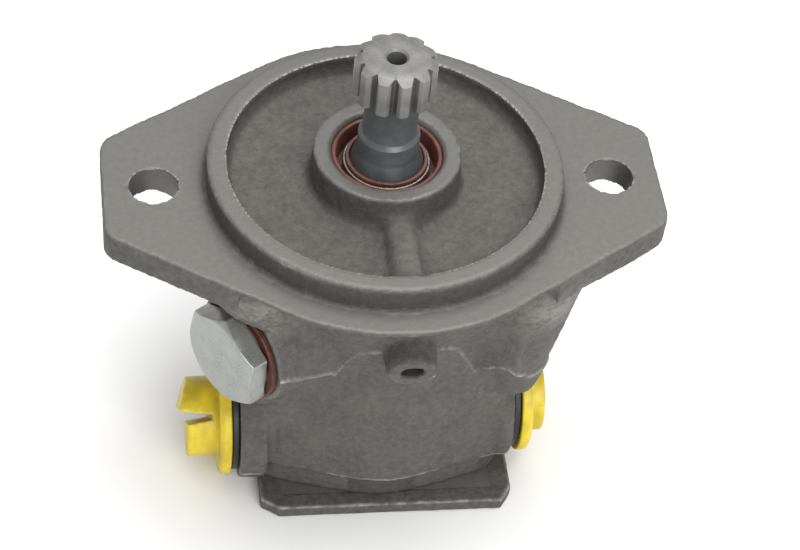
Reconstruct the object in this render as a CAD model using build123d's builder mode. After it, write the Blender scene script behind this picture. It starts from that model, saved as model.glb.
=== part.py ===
from build123d import *
import os
from math import asin, cos, degrees, pi, radians, sin, tan

# Fixed-displacement axial piston pump with a two-bolt SAE A mounting flange.
# Millimetres. Origin: centre of the mounting face, on the shaft axis.
# +Z points out along the shaft, +X through a mounting bolt hole.

os.makedirs("parts", exist_ok=True)

# ---------------------------------------------------------------- driving dimensions
# Mounting flange and pilot
FLANGE_LENGTH = 130.0
FLANGE_WIDTH = 96.8
FLANGE_THICK = 7.2
RIM_THICK = 1.4
EAR_START = 36.0
PILOT_CHAMFER = 0.5
FLOOR_FILLET = 2.5
EAR_END_WIDTH = 24.6
EAR_CORNER_R = 6.0
BOLT_SPACING = 106.4
BOLT_HOLE_D = 11.4
PILOT_D = 82.55
PILOT_HEIGHT = 6.35
PILOT_WALL = 4.6
RECESS_FLOOR_Z = 1.0
SEAL_BOSS_TOP_Z = 9.9
RIB_WIDTH = 8.0
RIB_X = 1.5

# Cast body
BODY_DEPTH = 81.5
BODY_CENTRE_X = 2.4
BODY_WIDTH = 62.8
BODY_SIDE_LENGTH = 42.0
BODY_FRONT_SLOPE = 16.0
BODY_CORNER_R = 7.0
BODY_NOSE_R = 30.0
REGISTER_HEIGHT = 7.0
REGISTER_STEP = 1.2
NECK_DEPTH = 34.0
NECK_FLARE = 8.5
FLARE_R = 15.0
FLARE_LEAN = 1.5
FLARE_FOOT_R = 28.0
GUSSET_SPACING_X = 60.0
GUSSET_SPACING_Y = 34.0
GUSSET_R = 16.2
GUSSET_DEPTH = 48.8
GUSSET_TAPER = 11.0
CAVITY_D = 49.0

# Rear cover
PLATE_LENGTH = 62.7
PLATE_WIDTH = 60.6
PLATE_THICK = 3.5
PLATE_CENTRE_X = 4.0
SPIGOT_D = 47.0
SPIGOT_HEIGHT = 17.5
COVER_SCREW_D = 5.0
COVER_SCREW_LENGTH = 9.5
COVER_SCREW_HEAD_R = 4.6
COVER_SCREW_SPACING_X = 50.0
COVER_SCREW_SPACING_Y = 34.0
COVER_RING_D = 2.2
DOWEL_D = 3.0

# Shaft
SHAFT_EXTENSION = 38.1
SPLINE_TEETH = 11
SPLINE_MAJOR_D = 18.8
SPLINE_ROOT_D = 15.2
SPLINE_LENGTH = 10.2
SPLINE_PHASE = -17.2
CENTRE_HOLE_D = 4.5
NECK_D = 12.4
NECK_STEP_D = 14.3
SEAL_JOURNAL_D = 17.0
DRIVE_SPLINE_D = 12.8
DRIVE_SPLINE_ROOT_D = 11.4
DRIVE_SPLINE_TEETH = 12
REAR_JOURNAL_D = 11.2

# Shaft seals and front bearing, sized from the journal that they run on
SEAL_WIDTH = 6.8
SEAL_BORE_D = SEAL_JOURNAL_D + 8.8
SEAL_BOSS_D = SEAL_BORE_D + 8.4
OUTER_SEAL_TOP_Z = 8.9
SEAL_GAP = 3.6
BEARING_BORE_D = SEAL_JOURNAL_D
BEARING_OD = BEARING_BORE_D + 18.0
BEARING_WIDTH = 10.0
BEARING_BALL_D = 6.0
BEARING_BALLS = 8
REAR_BEARING_LENGTH = 10.5
REAR_NEEDLES = 16
NEEDLE_D = 1.9

# Rotating group
PISTONS = 9
PISTON_CIRCLE_R = 14.5
PISTON_D = 7.5
SWASH_ANGLE = 12.0
CAM_PLATE_D = 45.6
CAM_PLATE_THICK = 7.3
BLOCK_D = 43.0
BLOCK_HUB_LENGTH = 6.0
BLOCK_WEB = 3.0
VALVE_PLATE_THICK = 2.5
PISTON_BALL_D = 5.6
PISTON_NECK_D = 3.6
PISTON_NECK_LENGTH = 4.5
SLIPPER_HEIGHT = 5.0
SLIPPER_PAD_THICK = 1.8
SLIPPER_NECK_D = 7.6
SLIPPER_LIP = 1.6
RETAINER_THICK = 1.4
GUIDE_D = 17.2
KIDNEY_WIDTH = 4.6
KIDNEY_HALF_ANGLE = 52.0
SPRING_TURNS = 4

# Ports and plugs
PORT_THREAD_D = 20.0
PORT_BOSS_D = 31.0
PORT_DRILL_D = 7.2
PORT_DRILL_Y = -8.5
LEFT_PORT_Y = -11.0
LEFT_PORT_Z = -68.1
LEFT_PORT_PROUD = 3.6
RIGHT_PORT_Y = -8.0
RIGHT_PORT_Z = -66.4
RIGHT_PORT_PROUD = 0.8
PORT_THREAD_DEPTH = 6.2
CAP_FLANGE_D = 29.0
CAP_FLANGE_THICK = 2.9
CAP_HEAD_D = 19.5
CAP_SEAL_THICK = 2.0
LEFT_CAP_HEAD = 7.5
RIGHT_CAP_HEAD = 3.6
CAP_SLOT = radians(-46.0)
CAP_SLOT_WIDTH = 3.4
CAP_SLOT_ROOT = 1.2
CAP_SLOT_SHARE = 0.8
CAP_LIFT = 2.0

# Case drain plug, its boss and the blank boss opposite
DRAIN_AZIMUTH = 214.4
DRAIN_Z = -30.2
DRAIN_FACE_R = 40.5
DRAIN_BOSS_D = 28.4
DRAIN_BOSS_DEPTH = 16.0
SPOT_FACE_CLEARANCE = 20.0
BLANK_BOSS_DEPTH = 18.0
WEEP_BOSS_DEPTH = 14.0
DRAIN_THREAD_D = 18.0
DRAIN_HEX = 22.0
DRAIN_HEAD = 5.4
DRAIN_HEX_TURN = 28.0
WASHER_THICK = 1.5
WASHER_D = 26.0
BLANK_FACE_R = 38.5

# Weep boss
WEEP_TILT = 17.0
WEEP_X = 4.0
WEEP_Y = -39.5
WEEP_Z = -23.0
WEEP_BOSS_D = 11.4
WEEP_HOLE_D = 5.2
WEEP_DRILL_D = 2.4

# Clearances
RUN_GAP = 0.05
JOURNAL_GAP = 0.03
SLIP_FIT = 0.05
PISTON_CLEARANCE = 0.25
RETAINER_CLEARANCE = 0.25
SOCKET_CLEARANCE = 0.12
SLIPPER_SPACE = 0.8

# ---------------------------------------------------------------- derived places
SEAL_CHAMBER_TOP_Z = OUTER_SEAL_TOP_Z - SEAL_WIDTH
INNER_SEAL_TOP_Z = SEAL_CHAMBER_TOP_Z - SEAL_GAP
SEAL_SHOULDER_Z = INNER_SEAL_TOP_Z - SEAL_WIDTH
BEARING_TOP_Z = SEAL_SHOULDER_Z - 1.6
BEARING_BOTTOM_Z = BEARING_TOP_Z - BEARING_WIDTH
CLIP_THICK = 1.3
CEILING_Z = BEARING_BOTTOM_Z - CLIP_THICK - 1.2

TILT = radians(SWASH_ANGLE)
SWASH_FACE_Z = CEILING_Z - CAM_PLATE_THICK
PIVOT_Z = SWASH_FACE_Z - (SLIPPER_HEIGHT + RUN_GAP) / cos(TILT)
TILTED = Plane(origin=(0, 0, PIVOT_Z), x_dir=(1, 0, 0), z_dir=(0, sin(TILT), cos(TILT)))
# The balls run on a circle in the tilted plane, half way between the two circles that
# would touch the bores at the ends and at the sides of the oval that it projects to.
BALL_TRACK_R = PISTON_CIRCLE_R * (1 + (1 - cos(TILT)) / 2)
HALF_STROKE = BALL_TRACK_R * sin(TILT)
SLIPPER_R = PISTON_CIRCLE_R * sin(pi / PISTONS) - SLIPPER_SPACE / 2

COVER_FACE_Z = SPIGOT_HEIGHT - BODY_DEPTH
VALVE_FACE_Z = COVER_FACE_Z + VALVE_PLATE_THICK
BLOCK_BOTTOM_Z = VALVE_FACE_Z + RUN_GAP
LOWEST_SHOULDER_Z = PIVOT_Z - HALF_STROKE - PISTON_NECK_LENGTH
BLOCK_TOP_Z = LOWEST_SHOULDER_Z + 0.7
BORE_R = PISTON_D / 2 + PISTON_CLEARANCE
BORE_BOTTOM_Z = BLOCK_BOTTOM_Z + BLOCK_WEB
PISTON_LENGTH = LOWEST_SHOULDER_Z - BORE_BOTTOM_Z - 0.8
REGISTER_TOP_Z = REGISTER_HEIGHT - BODY_DEPTH
PLATE_BOTTOM_Z = -BODY_DEPTH - PLATE_THICK
LEFT_WALL_X = BODY_CENTRE_X - BODY_WIDTH / 2
RIGHT_WALL_X = BODY_CENTRE_X + BODY_WIDTH / 2
BALL_PITCH_R = (BEARING_BORE_D + BEARING_OD) / 4
CHANNEL_Z = COVER_FACE_Z - SPIGOT_HEIGHT * 0.43
COVER_RING_Z = -BODY_DEPTH + 2.4
NEEDLE_PITCH_R = REAR_JOURNAL_D / 2 + NEEDLE_D / 2 + JOURNAL_GAP
REAR_CUP_R = NEEDLE_PITCH_R + NEEDLE_D / 2 + 1.0
VALVE_DOWEL = (0, BLOCK_D / 2 - 3.0)
SPLINE_BOTTOM_Z = SHAFT_EXTENSION - SPLINE_LENGTH
COLLAR_R = BEARING_BORE_D / 2 + 1.7
COLLAR_BOTTOM_Z = BEARING_BOTTOM_Z - 2.0
GUIDE_TOP_Z = PIVOT_Z + GUIDE_D * 0.23
GUIDE_BOTTOM_Z = PIVOT_Z - GUIDE_D * 0.35
HUB_BOTTOM_Z = BLOCK_TOP_Z - BLOCK_HUB_LENGTH
DRIVE_BOTTOM_Z = HUB_BOTTOM_Z - 1.0
SHAFT_END_Z = COVER_FACE_Z - REAR_BEARING_LENGTH
SPRING_BORE_R = PISTON_CIRCLE_R - BORE_R - 1.7
SPRING_WIRE_D = 1.5
WASHER_GAP = 0.3


def ball_angle(index):
    """Angle of one piston about the shaft, in degrees."""
    return index * 360.0 / PISTONS


def ball_centre(index):
    """Centre of one piston ball at rest, on the tilted track."""
    angle = radians(ball_angle(index))
    return TILTED.from_local_coords((BALL_TRACK_R * cos(angle), BALL_TRACK_R * sin(angle), 0))


def body_outline(grow):
    """Section of the cast body: flat port sides and a shallow pointed front and back."""
    half = BODY_WIDTH / 2 + grow
    side = BODY_SIDE_LENGTH / 2 + grow
    nose = side + half * tan(radians(BODY_FRONT_SLOPE))
    with BuildSketch() as outline:
        with Locations((BODY_CENTRE_X, 0)):
            lower = ((-half, -side), (0, -nose), (half, -side))
            upper = ((half, side), (0, nose), (-half, side))
            Polygon(*lower, *upper, align=None)
        corners = outline.vertices().sort_by(Axis.X)
        fillet(corners[0:2] + corners[4:6], BODY_CORNER_R)
        noses = outline.vertices().filter_by(lambda v: abs(v.X - BODY_CENTRE_X) < 0.01)
        fillet(noses, BODY_NOSE_R)
    return outline.sketch


def flange_outline():
    """Two-bolt flange: a round middle with straight tangents to two square-ended ears."""
    with BuildSketch() as outline:
        Circle(FLANGE_WIDTH / 2)
        ear_x = FLANGE_LENGTH / 2 - EAR_CORNER_R
        with GridLocations(2 * ear_x, EAR_END_WIDTH, 2, 2):
            Circle(EAR_CORNER_R)
        make_hull()
    return outline.sketch


def radial_plane(azimuth, height, distance):
    """Plane square to a radial line, its normal pointing away from the shaft."""
    angle = radians(azimuth)
    out = Vector(cos(angle), sin(angle), 0)
    return Plane(origin=out * distance + Vector(0, 0, height), x_dir=(-sin(angle), cos(angle), 0), z_dir=out)


DRAIN_FACE = radial_plane(DRAIN_AZIMUTH, DRAIN_Z, DRAIN_FACE_R)
# The blank boss mirrors the drain boss about the middle of the body.
BLANK_AZIMUTH = 180.0 - DRAIN_AZIMUTH
BLANK_FACE = radial_plane(BLANK_AZIMUTH, DRAIN_Z, BLANK_FACE_R)
BLANK_FACE.origin = BLANK_FACE.origin + Vector(2 * BODY_CENTRE_X, 0, 0)
WEEP_OUT = Vector(0, -cos(radians(WEEP_TILT)), -sin(radians(WEEP_TILT)))
WEEP_FACE = Plane(origin=(WEEP_X, WEEP_Y, WEEP_Z), x_dir=(1, 0, 0), z_dir=WEEP_OUT)
LEFT_PORT_FACE = Plane(
    origin=(LEFT_WALL_X - LEFT_PORT_PROUD, LEFT_PORT_Y, LEFT_PORT_Z), x_dir=(0, 1, 0), z_dir=(-1, 0, 0)
)
RIGHT_PORT_FACE = Plane(
    origin=(RIGHT_WALL_X + RIGHT_PORT_PROUD, RIGHT_PORT_Y, RIGHT_PORT_Z), x_dir=(0, 1, 0), z_dir=(1, 0, 0)
)
COVER_DOWELS = ((LEFT_WALL_X + 3.6, 6.0), (RIGHT_WALL_X - 4.5, 6.0))
CAM_DOWELS = ((0, CAM_PLATE_D / 2 - 2.5), (0, 2.5 - CAM_PLATE_D / 2))

# ---------------------------------------------------------------- housing
RECESS_R = PILOT_D / 2 - PILOT_WALL
with BuildPart() as housing:
    # Round middle of the flange: a thin rim with a hollow flare that runs down to the body.
    with BuildSketch(Plane.XZ):
        with BuildLine():
            flare_x = FLANGE_WIDTH / 2 + FLARE_LEAN
            lean = degrees(asin(FLARE_LEAN / FLARE_R))
            flare_z = -RIM_THICK - FLARE_R * cos(radians(lean))
            hollow = CenterArc((flare_x, flare_z), FLARE_R, 90 + lean, 90 - lean)
            foot = (FLARE_FOOT_R, -NECK_DEPTH)
            rim_top = (FLANGE_WIDTH / 2, 0)
            Polyline(hollow @ 1, foot, (0, -NECK_DEPTH), (0, 0), rim_top, hollow @ 0)
        make_face()
    revolve(axis=Axis.Z)
    # Thick ears, joined across the middle by a skin that lies inside the rim.
    with BuildSketch(Plane.XY.offset(-RIM_THICK / 2)):
        add(flange_outline())
    extrude(amount=RIM_THICK / 2)
    with BuildSketch(Plane.XY.offset(-FLANGE_THICK)):
        add(flange_outline())
        Rectangle(2 * EAR_START, FLANGE_WIDTH + 1.0, mode=Mode.SUBTRACT)
    extrude(amount=FLANGE_THICK)
    # Pilot ring, dished recess and the seal boss in the middle.
    with BuildSketch(Plane.XY):
        Circle(PILOT_D / 2)
    extrude(amount=PILOT_HEIGHT)
    pilot_rim = housing.edges().filter_by(GeomType.CIRCLE).group_by(Axis.Z)[-1]
    chamfer(pilot_rim, PILOT_CHAMFER)
    with BuildSketch(Plane.XY.offset(RECESS_FLOOR_Z)):
        Circle(RECESS_R)
    extrude(amount=PILOT_HEIGHT, mode=Mode.SUBTRACT)
    floor_rim = housing.edges().filter_by(GeomType.CIRCLE).filter_by_position(
        Axis.Z, RECESS_FLOOR_Z - 0.01, RECESS_FLOOR_Z + 0.01
    )
    fillet(floor_rim, FLOOR_FILLET)
    with BuildSketch(Plane.XY.offset(RECESS_FLOOR_Z - 0.5)):
        Circle(SEAL_BOSS_D / 2 + 0.4)
    extrude(amount=SEAL_BOSS_TOP_Z - RECESS_FLOOR_Z + 0.5, taper=2.5)
    # Rib from the seal boss to the pilot ring, over the weep passage.
    rib_length = RECESS_R - SEAL_BOSS_D / 2 + 3.0
    with BuildSketch(Plane.XY.offset(RECESS_FLOOR_Z - 0.5)):
        with Locations((RIB_X, -SEAL_BOSS_D / 2 + 2.0)):
            Rectangle(RIB_WIDTH, rib_length, align=(Align.CENTER, Align.MAX))
    extrude(amount=PILOT_HEIGHT - RECESS_FLOOR_Z - 0.6, taper=12)
    # Neck that flares from the body up to the flange, then the body itself.
    with BuildSketch(Plane.XY.offset(-NECK_DEPTH)):
        add(body_outline(0))
    with BuildSketch(Plane.XY.offset(-RIM_THICK)):
        add(body_outline(NECK_FLARE))
    loft()
    with BuildSketch(Plane.XY.offset(REGISTER_TOP_Z)):
        add(body_outline(0))
    extrude(amount=-NECK_DEPTH - REGISTER_TOP_Z)
    with BuildSketch(Plane.XY.offset(-BODY_DEPTH)):
        add(body_outline(-REGISTER_STEP))
    extrude(amount=REGISTER_HEIGHT)
    # Gussets under the four corners of the flange, tapering down into the body.
    with BuildSketch(Plane.XY.offset(-RIM_THICK)):
        with Locations((BODY_CENTRE_X, 0)):
            with GridLocations(GUSSET_SPACING_X, GUSSET_SPACING_Y, 2, 2):
                Circle(GUSSET_R)
    extrude(amount=-GUSSET_DEPTH, taper=GUSSET_TAPER)
    # Drain boss, the blank boss opposite, the weep boss and the two port bosses.
    with BuildSketch(DRAIN_FACE):
        Circle(DRAIN_BOSS_D / 2)
    extrude(amount=-DRAIN_BOSS_DEPTH, taper=-6)
    with BuildSketch(DRAIN_FACE):
        Circle(DRAIN_BOSS_D / 2)
    extrude(amount=SPOT_FACE_CLEARANCE, mode=Mode.SUBTRACT)
    with BuildSketch(BLANK_FACE):
        Circle(DRAIN_BOSS_D / 2 - 3.0)
    extrude(amount=-BLANK_BOSS_DEPTH, taper=-8)
    with BuildSketch(WEEP_FACE):
        Circle(WEEP_BOSS_D / 2)
    extrude(amount=-WEEP_BOSS_DEPTH, taper=-4)
    with BuildSketch(LEFT_PORT_FACE):
        Circle(PORT_BOSS_D / 2)
    extrude(amount=-LEFT_PORT_PROUD - 3.0)
    with BuildSketch(RIGHT_PORT_FACE):
        Circle(PORT_BOSS_D / 2)
    extrude(amount=-RIGHT_PORT_PROUD - 3.0)
    split(bisect_by=Plane.XY.offset(-BODY_DEPTH), keep=Keep.TOP)
    # Bolt holes.
    with Locations(Plane.XY):
        with GridLocations(BOLT_SPACING, 0, 2, 1):
            Hole(BOLT_HOLE_D / 2, depth=FLANGE_THICK * 3)
    # Seal bore from the front; bearing bore, cavity and spigot bore from the rear.
    with BuildSketch(Plane.XY.offset(SEAL_SHOULDER_Z)):
        Circle(SEAL_BORE_D / 2)
    extrude(amount=SEAL_BOSS_TOP_Z - SEAL_SHOULDER_Z, mode=Mode.SUBTRACT)
    seal_mouth = housing.edges().filter_by(GeomType.CIRCLE).group_by(Axis.Z)[-1].sort_by(SortBy.RADIUS)[0]
    chamfer(seal_mouth, 0.7)
    with BuildSketch(Plane.XY.offset(BEARING_TOP_Z)):
        Circle(SEAL_BORE_D / 2 - 1.6)
    extrude(amount=SEAL_SHOULDER_Z - BEARING_TOP_Z, mode=Mode.SUBTRACT)
    with BuildSketch(Plane.XY.offset(CEILING_Z)):
        Circle(BEARING_OD / 2)
    extrude(amount=BEARING_TOP_Z - CEILING_Z, mode=Mode.SUBTRACT)
    with BuildSketch(Plane.XY.offset(BEARING_BOTTOM_Z - CLIP_THICK)):
        Circle(BEARING_OD / 2 + 0.9)
    extrude(amount=CLIP_THICK, mode=Mode.SUBTRACT)
    with BuildSketch(Plane.XY.offset(COVER_FACE_Z)):
        Circle(CAVITY_D / 2)
    extrude(amount=CEILING_Z - COVER_FACE_Z, mode=Mode.SUBTRACT)
    with BuildSketch(Plane.XY.offset(-BODY_DEPTH)):
        Circle(SPIGOT_D / 2 + SLIP_FIT)
    extrude(amount=SPIGOT_HEIGHT, mode=Mode.SUBTRACT)
    # Cam plate dowel holes in the ceiling.
    with BuildSketch(Plane.XY.offset(CEILING_Z)):
        with Locations(*CAM_DOWELS):
            Circle(DOWEL_D / 2)
    extrude(amount=3.0, mode=Mode.SUBTRACT)
    # Drain thread through the boss.
    with BuildSketch(DRAIN_FACE):
        Circle(DRAIN_THREAD_D / 2)
    extrude(amount=-DRAIN_FACE_R + CAVITY_D / 2 - 3.0, mode=Mode.SUBTRACT)
    # Port threads and the drillings that lead in to the rear cover.
    for port_face in (LEFT_PORT_FACE, RIGHT_PORT_FACE):
        with BuildSketch(port_face):
            Circle(PORT_THREAD_D / 2)
        extrude(amount=-PORT_THREAD_DEPTH, mode=Mode.SUBTRACT)
        drill_end = SPIGOT_D / 2 - 4.0
        with BuildSketch(Plane.YZ.offset(drill_end if port_face.origin.X > 0 else -drill_end)):
            with Locations((PORT_DRILL_Y, CHANNEL_Z)):
                Circle(PORT_DRILL_D / 2)
        reach = abs(port_face.origin.X) - drill_end - PORT_THREAD_DEPTH + 0.5
        extrude(amount=reach if port_face.origin.X > 0 else -reach, mode=Mode.SUBTRACT)
    # Weep hole: a drilled mouth, then a fine drilling up to the space between the seals.
    with BuildSketch(WEEP_FACE):
        Circle(WEEP_HOLE_D / 2)
    extrude(amount=-6.0, mode=Mode.SUBTRACT)
    weep_end = WEEP_FACE.origin - WEEP_OUT * 17.5
    chamber = Vector(0, -SEAL_BORE_D / 2 + 1.0, (SEAL_CHAMBER_TOP_Z + INNER_SEAL_TOP_Z) / 2)
    with BuildSketch(WEEP_FACE):
        Circle(WEEP_DRILL_D / 2)
    extrude(amount=-18.0, mode=Mode.SUBTRACT)
    with BuildSketch(Plane(origin=weep_end, z_dir=chamber - weep_end)):
        Circle(WEEP_DRILL_D / 2)
    extrude(amount=(chamber - weep_end).length, mode=Mode.SUBTRACT)
    # Cover screw and dowel holes in the rear face.
    with BuildSketch(Plane.XY.offset(-BODY_DEPTH)):
        with Locations((BODY_CENTRE_X, 0)):
            with GridLocations(COVER_SCREW_SPACING_X, COVER_SCREW_SPACING_Y, 2, 2):
                Circle(COVER_SCREW_D / 2)
    extrude(amount=COVER_SCREW_LENGTH - PLATE_THICK + 1.0, mode=Mode.SUBTRACT)
    with BuildSketch(Plane.XY.offset(-BODY_DEPTH)):
        with Locations(*COVER_DOWELS):
            Circle(DOWEL_D / 2)
    extrude(amount=5.0, mode=Mode.SUBTRACT)
housing.part.label = "housing"
export_step(housing.part, "parts/housing.step")

# ---------------------------------------------------------------- rear cover
with BuildPart() as rear_cover:
    # Foot plate with chamfered corners, and the spigot that closes the cavity.
    with BuildSketch(Plane.XY.offset(PLATE_BOTTOM_Z)):
        with Locations((PLATE_CENTRE_X, 0)):
            Rectangle(PLATE_LENGTH, PLATE_WIDTH)
    extrude(amount=PLATE_THICK)
    chamfer(rear_cover.edges().filter_by(Axis.Z), 3.0, 4.5)
    with BuildSketch(Plane.XY.offset(PLATE_BOTTOM_Z + PLATE_THICK)):
        Circle(SPIGOT_D / 2)
    extrude(amount=SPIGOT_HEIGHT)
    # Kidney passages, and the cross drillings that join them to the ports.
    with BuildSketch(Plane.XY.offset(COVER_FACE_Z)):
        for side in (0, 180):
            with BuildLine(mode=Mode.PRIVATE) as kidney_line:
                CenterArc((0, 0), PISTON_CIRCLE_R, side - KIDNEY_HALF_ANGLE, 2 * KIDNEY_HALF_ANGLE)
            SlotArc(kidney_line.edge(), KIDNEY_WIDTH)
    extrude(amount=-SPIGOT_HEIGHT * 0.5, mode=Mode.SUBTRACT)
    for side in (-1, 1):
        with BuildSketch(Plane.YZ.offset(side * (PISTON_CIRCLE_R - 3.0))):
            with Locations((PORT_DRILL_Y, CHANNEL_Z)):
                Circle(PORT_DRILL_D / 2)
        extrude(amount=side * SPIGOT_D / 2, mode=Mode.SUBTRACT)
    # Pocket for the rear shaft bearing and the groove for the seal ring.
    with BuildSketch(Plane.XY.offset(COVER_FACE_Z)):
        Circle(REAR_CUP_R)
    extrude(amount=-REAR_BEARING_LENGTH - 2.0, mode=Mode.SUBTRACT)
    with BuildSketch(Plane.XY.offset(COVER_RING_Z - COVER_RING_D / 2 - 0.3)):
        Circle(SPIGOT_D / 2 + 1.0)
        Circle(SPIGOT_D / 2 - COVER_RING_D, mode=Mode.SUBTRACT)
    extrude(amount=COVER_RING_D + 0.6, mode=Mode.SUBTRACT)
    # Countersunk screw holes and blind dowel holes.
    with Locations(Plane(origin=(BODY_CENTRE_X, 0, PLATE_BOTTOM_Z), z_dir=(0, 0, -1))):
        with GridLocations(COVER_SCREW_SPACING_X, COVER_SCREW_SPACING_Y, 2, 2):
            CounterSinkHole(COVER_SCREW_D / 2 + 0.2, COVER_SCREW_HEAD_R, PLATE_THICK * 2, 90)
    with BuildSketch(Plane.XY.offset(PLATE_BOTTOM_Z + PLATE_THICK)):
        with Locations(*COVER_DOWELS):
            Circle(DOWEL_D / 2)
    extrude(amount=-2.0, mode=Mode.SUBTRACT)
    with BuildSketch(Plane.XY.offset(COVER_FACE_Z)):
        with Locations(VALVE_DOWEL):
            Circle(DOWEL_D / 2)
    extrude(amount=-3.5, mode=Mode.SUBTRACT)
rear_cover.part.label = "rear_cover"
export_step(rear_cover.part, "parts/rear_cover.step")

with BuildPart() as cover_seal_ring:
    with BuildSketch(Plane.XZ):
        with Locations((SPIGOT_D / 2 - COVER_RING_D / 2, COVER_RING_Z)):
            Circle(COVER_RING_D / 2)
    revolve(axis=Axis.Z)
cover_seal_ring.part.label = "cover_seal_ring"
export_step(cover_seal_ring.part, "parts/cover_seal_ring.step")

with BuildPart() as cover_screws:
    with Locations(Plane(origin=(BODY_CENTRE_X, 0, PLATE_BOTTOM_Z))):
        with GridLocations(COVER_SCREW_SPACING_X, COVER_SCREW_SPACING_Y, 2, 2):
            Cylinder(COVER_SCREW_D / 2, COVER_SCREW_LENGTH, align=(Align.CENTER, Align.CENTER, Align.MIN))
            Cone(
                COVER_SCREW_HEAD_R - 0.1,
                COVER_SCREW_D / 2,
                COVER_SCREW_HEAD_R - 0.1 - COVER_SCREW_D / 2,
                align=(Align.CENTER, Align.CENTER, Align.MIN),
            )
    # Hexagon sockets in the screw heads.
    with BuildSketch(Plane.XY.offset(PLATE_BOTTOM_Z)):
        with Locations((BODY_CENTRE_X, 0)):
            with GridLocations(COVER_SCREW_SPACING_X, COVER_SCREW_SPACING_Y, 2, 2):
                RegularPolygon(COVER_SCREW_D * 0.3, 6, major_radius=False)
    extrude(amount=1.8, mode=Mode.SUBTRACT)
cover_screws.part.label = "cover_screws"
export_step(cover_screws.part, "parts/cover_screws.step")

with BuildPart() as cover_dowels:
    with BuildSketch(Plane.XY.offset(PLATE_BOTTOM_Z + PLATE_THICK - 1.9)):
        with Locations(*COVER_DOWELS):
            Circle(DOWEL_D / 2 - JOURNAL_GAP)
    extrude(amount=6.5)
cover_dowels.part.label = "cover_dowels"
export_step(cover_dowels.part, "parts/cover_dowels.step")

# ---------------------------------------------------------------- drive shaft
def spline_sketch(plane, root_r, tip_r, teeth, tip_width, root_width, phase=0.0, grow=0.0):
    """Round core with straight-sided teeth, for a shaft or, grown a little, for its hub."""
    inner = root_r - 0.6
    outer = tip_r + grow
    with BuildSketch(plane) as profile:
        Circle(root_r + grow)
        with PolarLocations(0, teeth, start_angle=phase):
            Polygon(
                (inner, -root_width / 2 - grow),
                (outer, -tip_width / 2 - grow),
                (outer, tip_width / 2 + grow),
                (inner, root_width / 2 + grow),
                align=None,
            )
    return profile.sketch


def drive_spline(plane, grow=0.0):
    """Section of the inner spline, which carries the cylinder block and the ball guide."""
    root_r = DRIVE_SPLINE_ROOT_D / 2
    return spline_sketch(plane, root_r, DRIVE_SPLINE_D / 2, DRIVE_SPLINE_TEETH, 1.3, 1.8, 0.0, grow)


with BuildPart() as drive_shaft:
    # Turned shaft, from the coupling end down to the rear journal.
    with BuildSketch(Plane.XZ):
        with BuildLine():
            Polyline(
                (0, SHAFT_EXTENSION - 0.3),
                (SPLINE_ROOT_D / 2 - 0.3, SHAFT_EXTENSION - 0.3),
                (SPLINE_ROOT_D / 2 - 0.3, SPLINE_BOTTOM_Z),
                (NECK_D / 2, SPLINE_BOTTOM_Z - 1.0),
                (NECK_D / 2, 16.6),
                (NECK_STEP_D / 2, 15.6),
                (NECK_STEP_D / 2, SEAL_BOSS_TOP_Z + 1.2),
                (SEAL_JOURNAL_D / 2, OUTER_SEAL_TOP_Z - 1.4),
                (SEAL_JOURNAL_D / 2, BEARING_BOTTOM_Z),
                (COLLAR_R, BEARING_BOTTOM_Z),
                (COLLAR_R, COLLAR_BOTTOM_Z),
                (SEAL_JOURNAL_D / 2 - 0.5, COLLAR_BOTTOM_Z),
                (SEAL_JOURNAL_D / 2 - 0.5, GUIDE_TOP_Z + 1.6),
                (DRIVE_SPLINE_ROOT_D / 2, GUIDE_TOP_Z + 0.6),
                (DRIVE_SPLINE_ROOT_D / 2, VALVE_FACE_Z),
                (REAR_JOURNAL_D / 2, VALVE_FACE_Z - 0.4),
                (REAR_JOURNAL_D / 2, SHAFT_END_Z + 0.8),
                (REAR_JOURNAL_D / 2 - 0.8, SHAFT_END_Z),
                (0, SHAFT_END_Z),
                close=True,
            )
        make_face()
    revolve(axis=Axis.Z)
    # Coupling spline at the outer end, its tooth ends chamfered by a cone.
    with BuildSketch(Plane.XY.offset(SPLINE_BOTTOM_Z)):
        root_r = SPLINE_ROOT_D / 2
        add(spline_sketch(Plane.XY, root_r, SPLINE_MAJOR_D / 2, SPLINE_TEETH, 1.9, 4.1, SPLINE_PHASE))
    extrude(amount=SPLINE_LENGTH)
    with BuildSketch(Plane.XZ):
        with BuildLine():
            Polyline(
                (SPLINE_ROOT_D / 2 - 0.2, SHAFT_EXTENSION + 0.1),
                (SPLINE_MAJOR_D / 2 + 0.2, SHAFT_EXTENSION - 1.2),
                (SPLINE_MAJOR_D / 2 + 0.2, SHAFT_EXTENSION + 1.0),
                (SPLINE_ROOT_D / 2 - 0.2, SHAFT_EXTENSION + 1.0),
                close=True,
            )
        make_face()
    revolve(axis=Axis.Z, mode=Mode.SUBTRACT)
    # Centre hole in the coupling end.
    with BuildSketch(Plane.XY.offset(SHAFT_EXTENSION)):
        Circle(CENTRE_HOLE_D / 2)
    extrude(amount=-9.0, mode=Mode.SUBTRACT)
    end_circles = drive_shaft.edges().filter_by(GeomType.CIRCLE).group_by(Axis.Z)[-1]
    centre_mouth = end_circles.sort_by(SortBy.RADIUS)[0]
    chamfer(centre_mouth, 0.5)
    # Inner spline.
    with BuildSketch(Plane.XY.offset(DRIVE_BOTTOM_Z)):
        add(drive_spline(Plane.XY))
    extrude(amount=GUIDE_TOP_Z + 0.6 - DRIVE_BOTTOM_Z)
drive_shaft.part.label = "drive_shaft"
export_step(drive_shaft.part, "parts/drive_shaft.step")

# ---------------------------------------------------------------- shaft seals
LIP_R = SEAL_JOURNAL_D / 2 + JOURNAL_GAP
GARTER_D = 1.1


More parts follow.
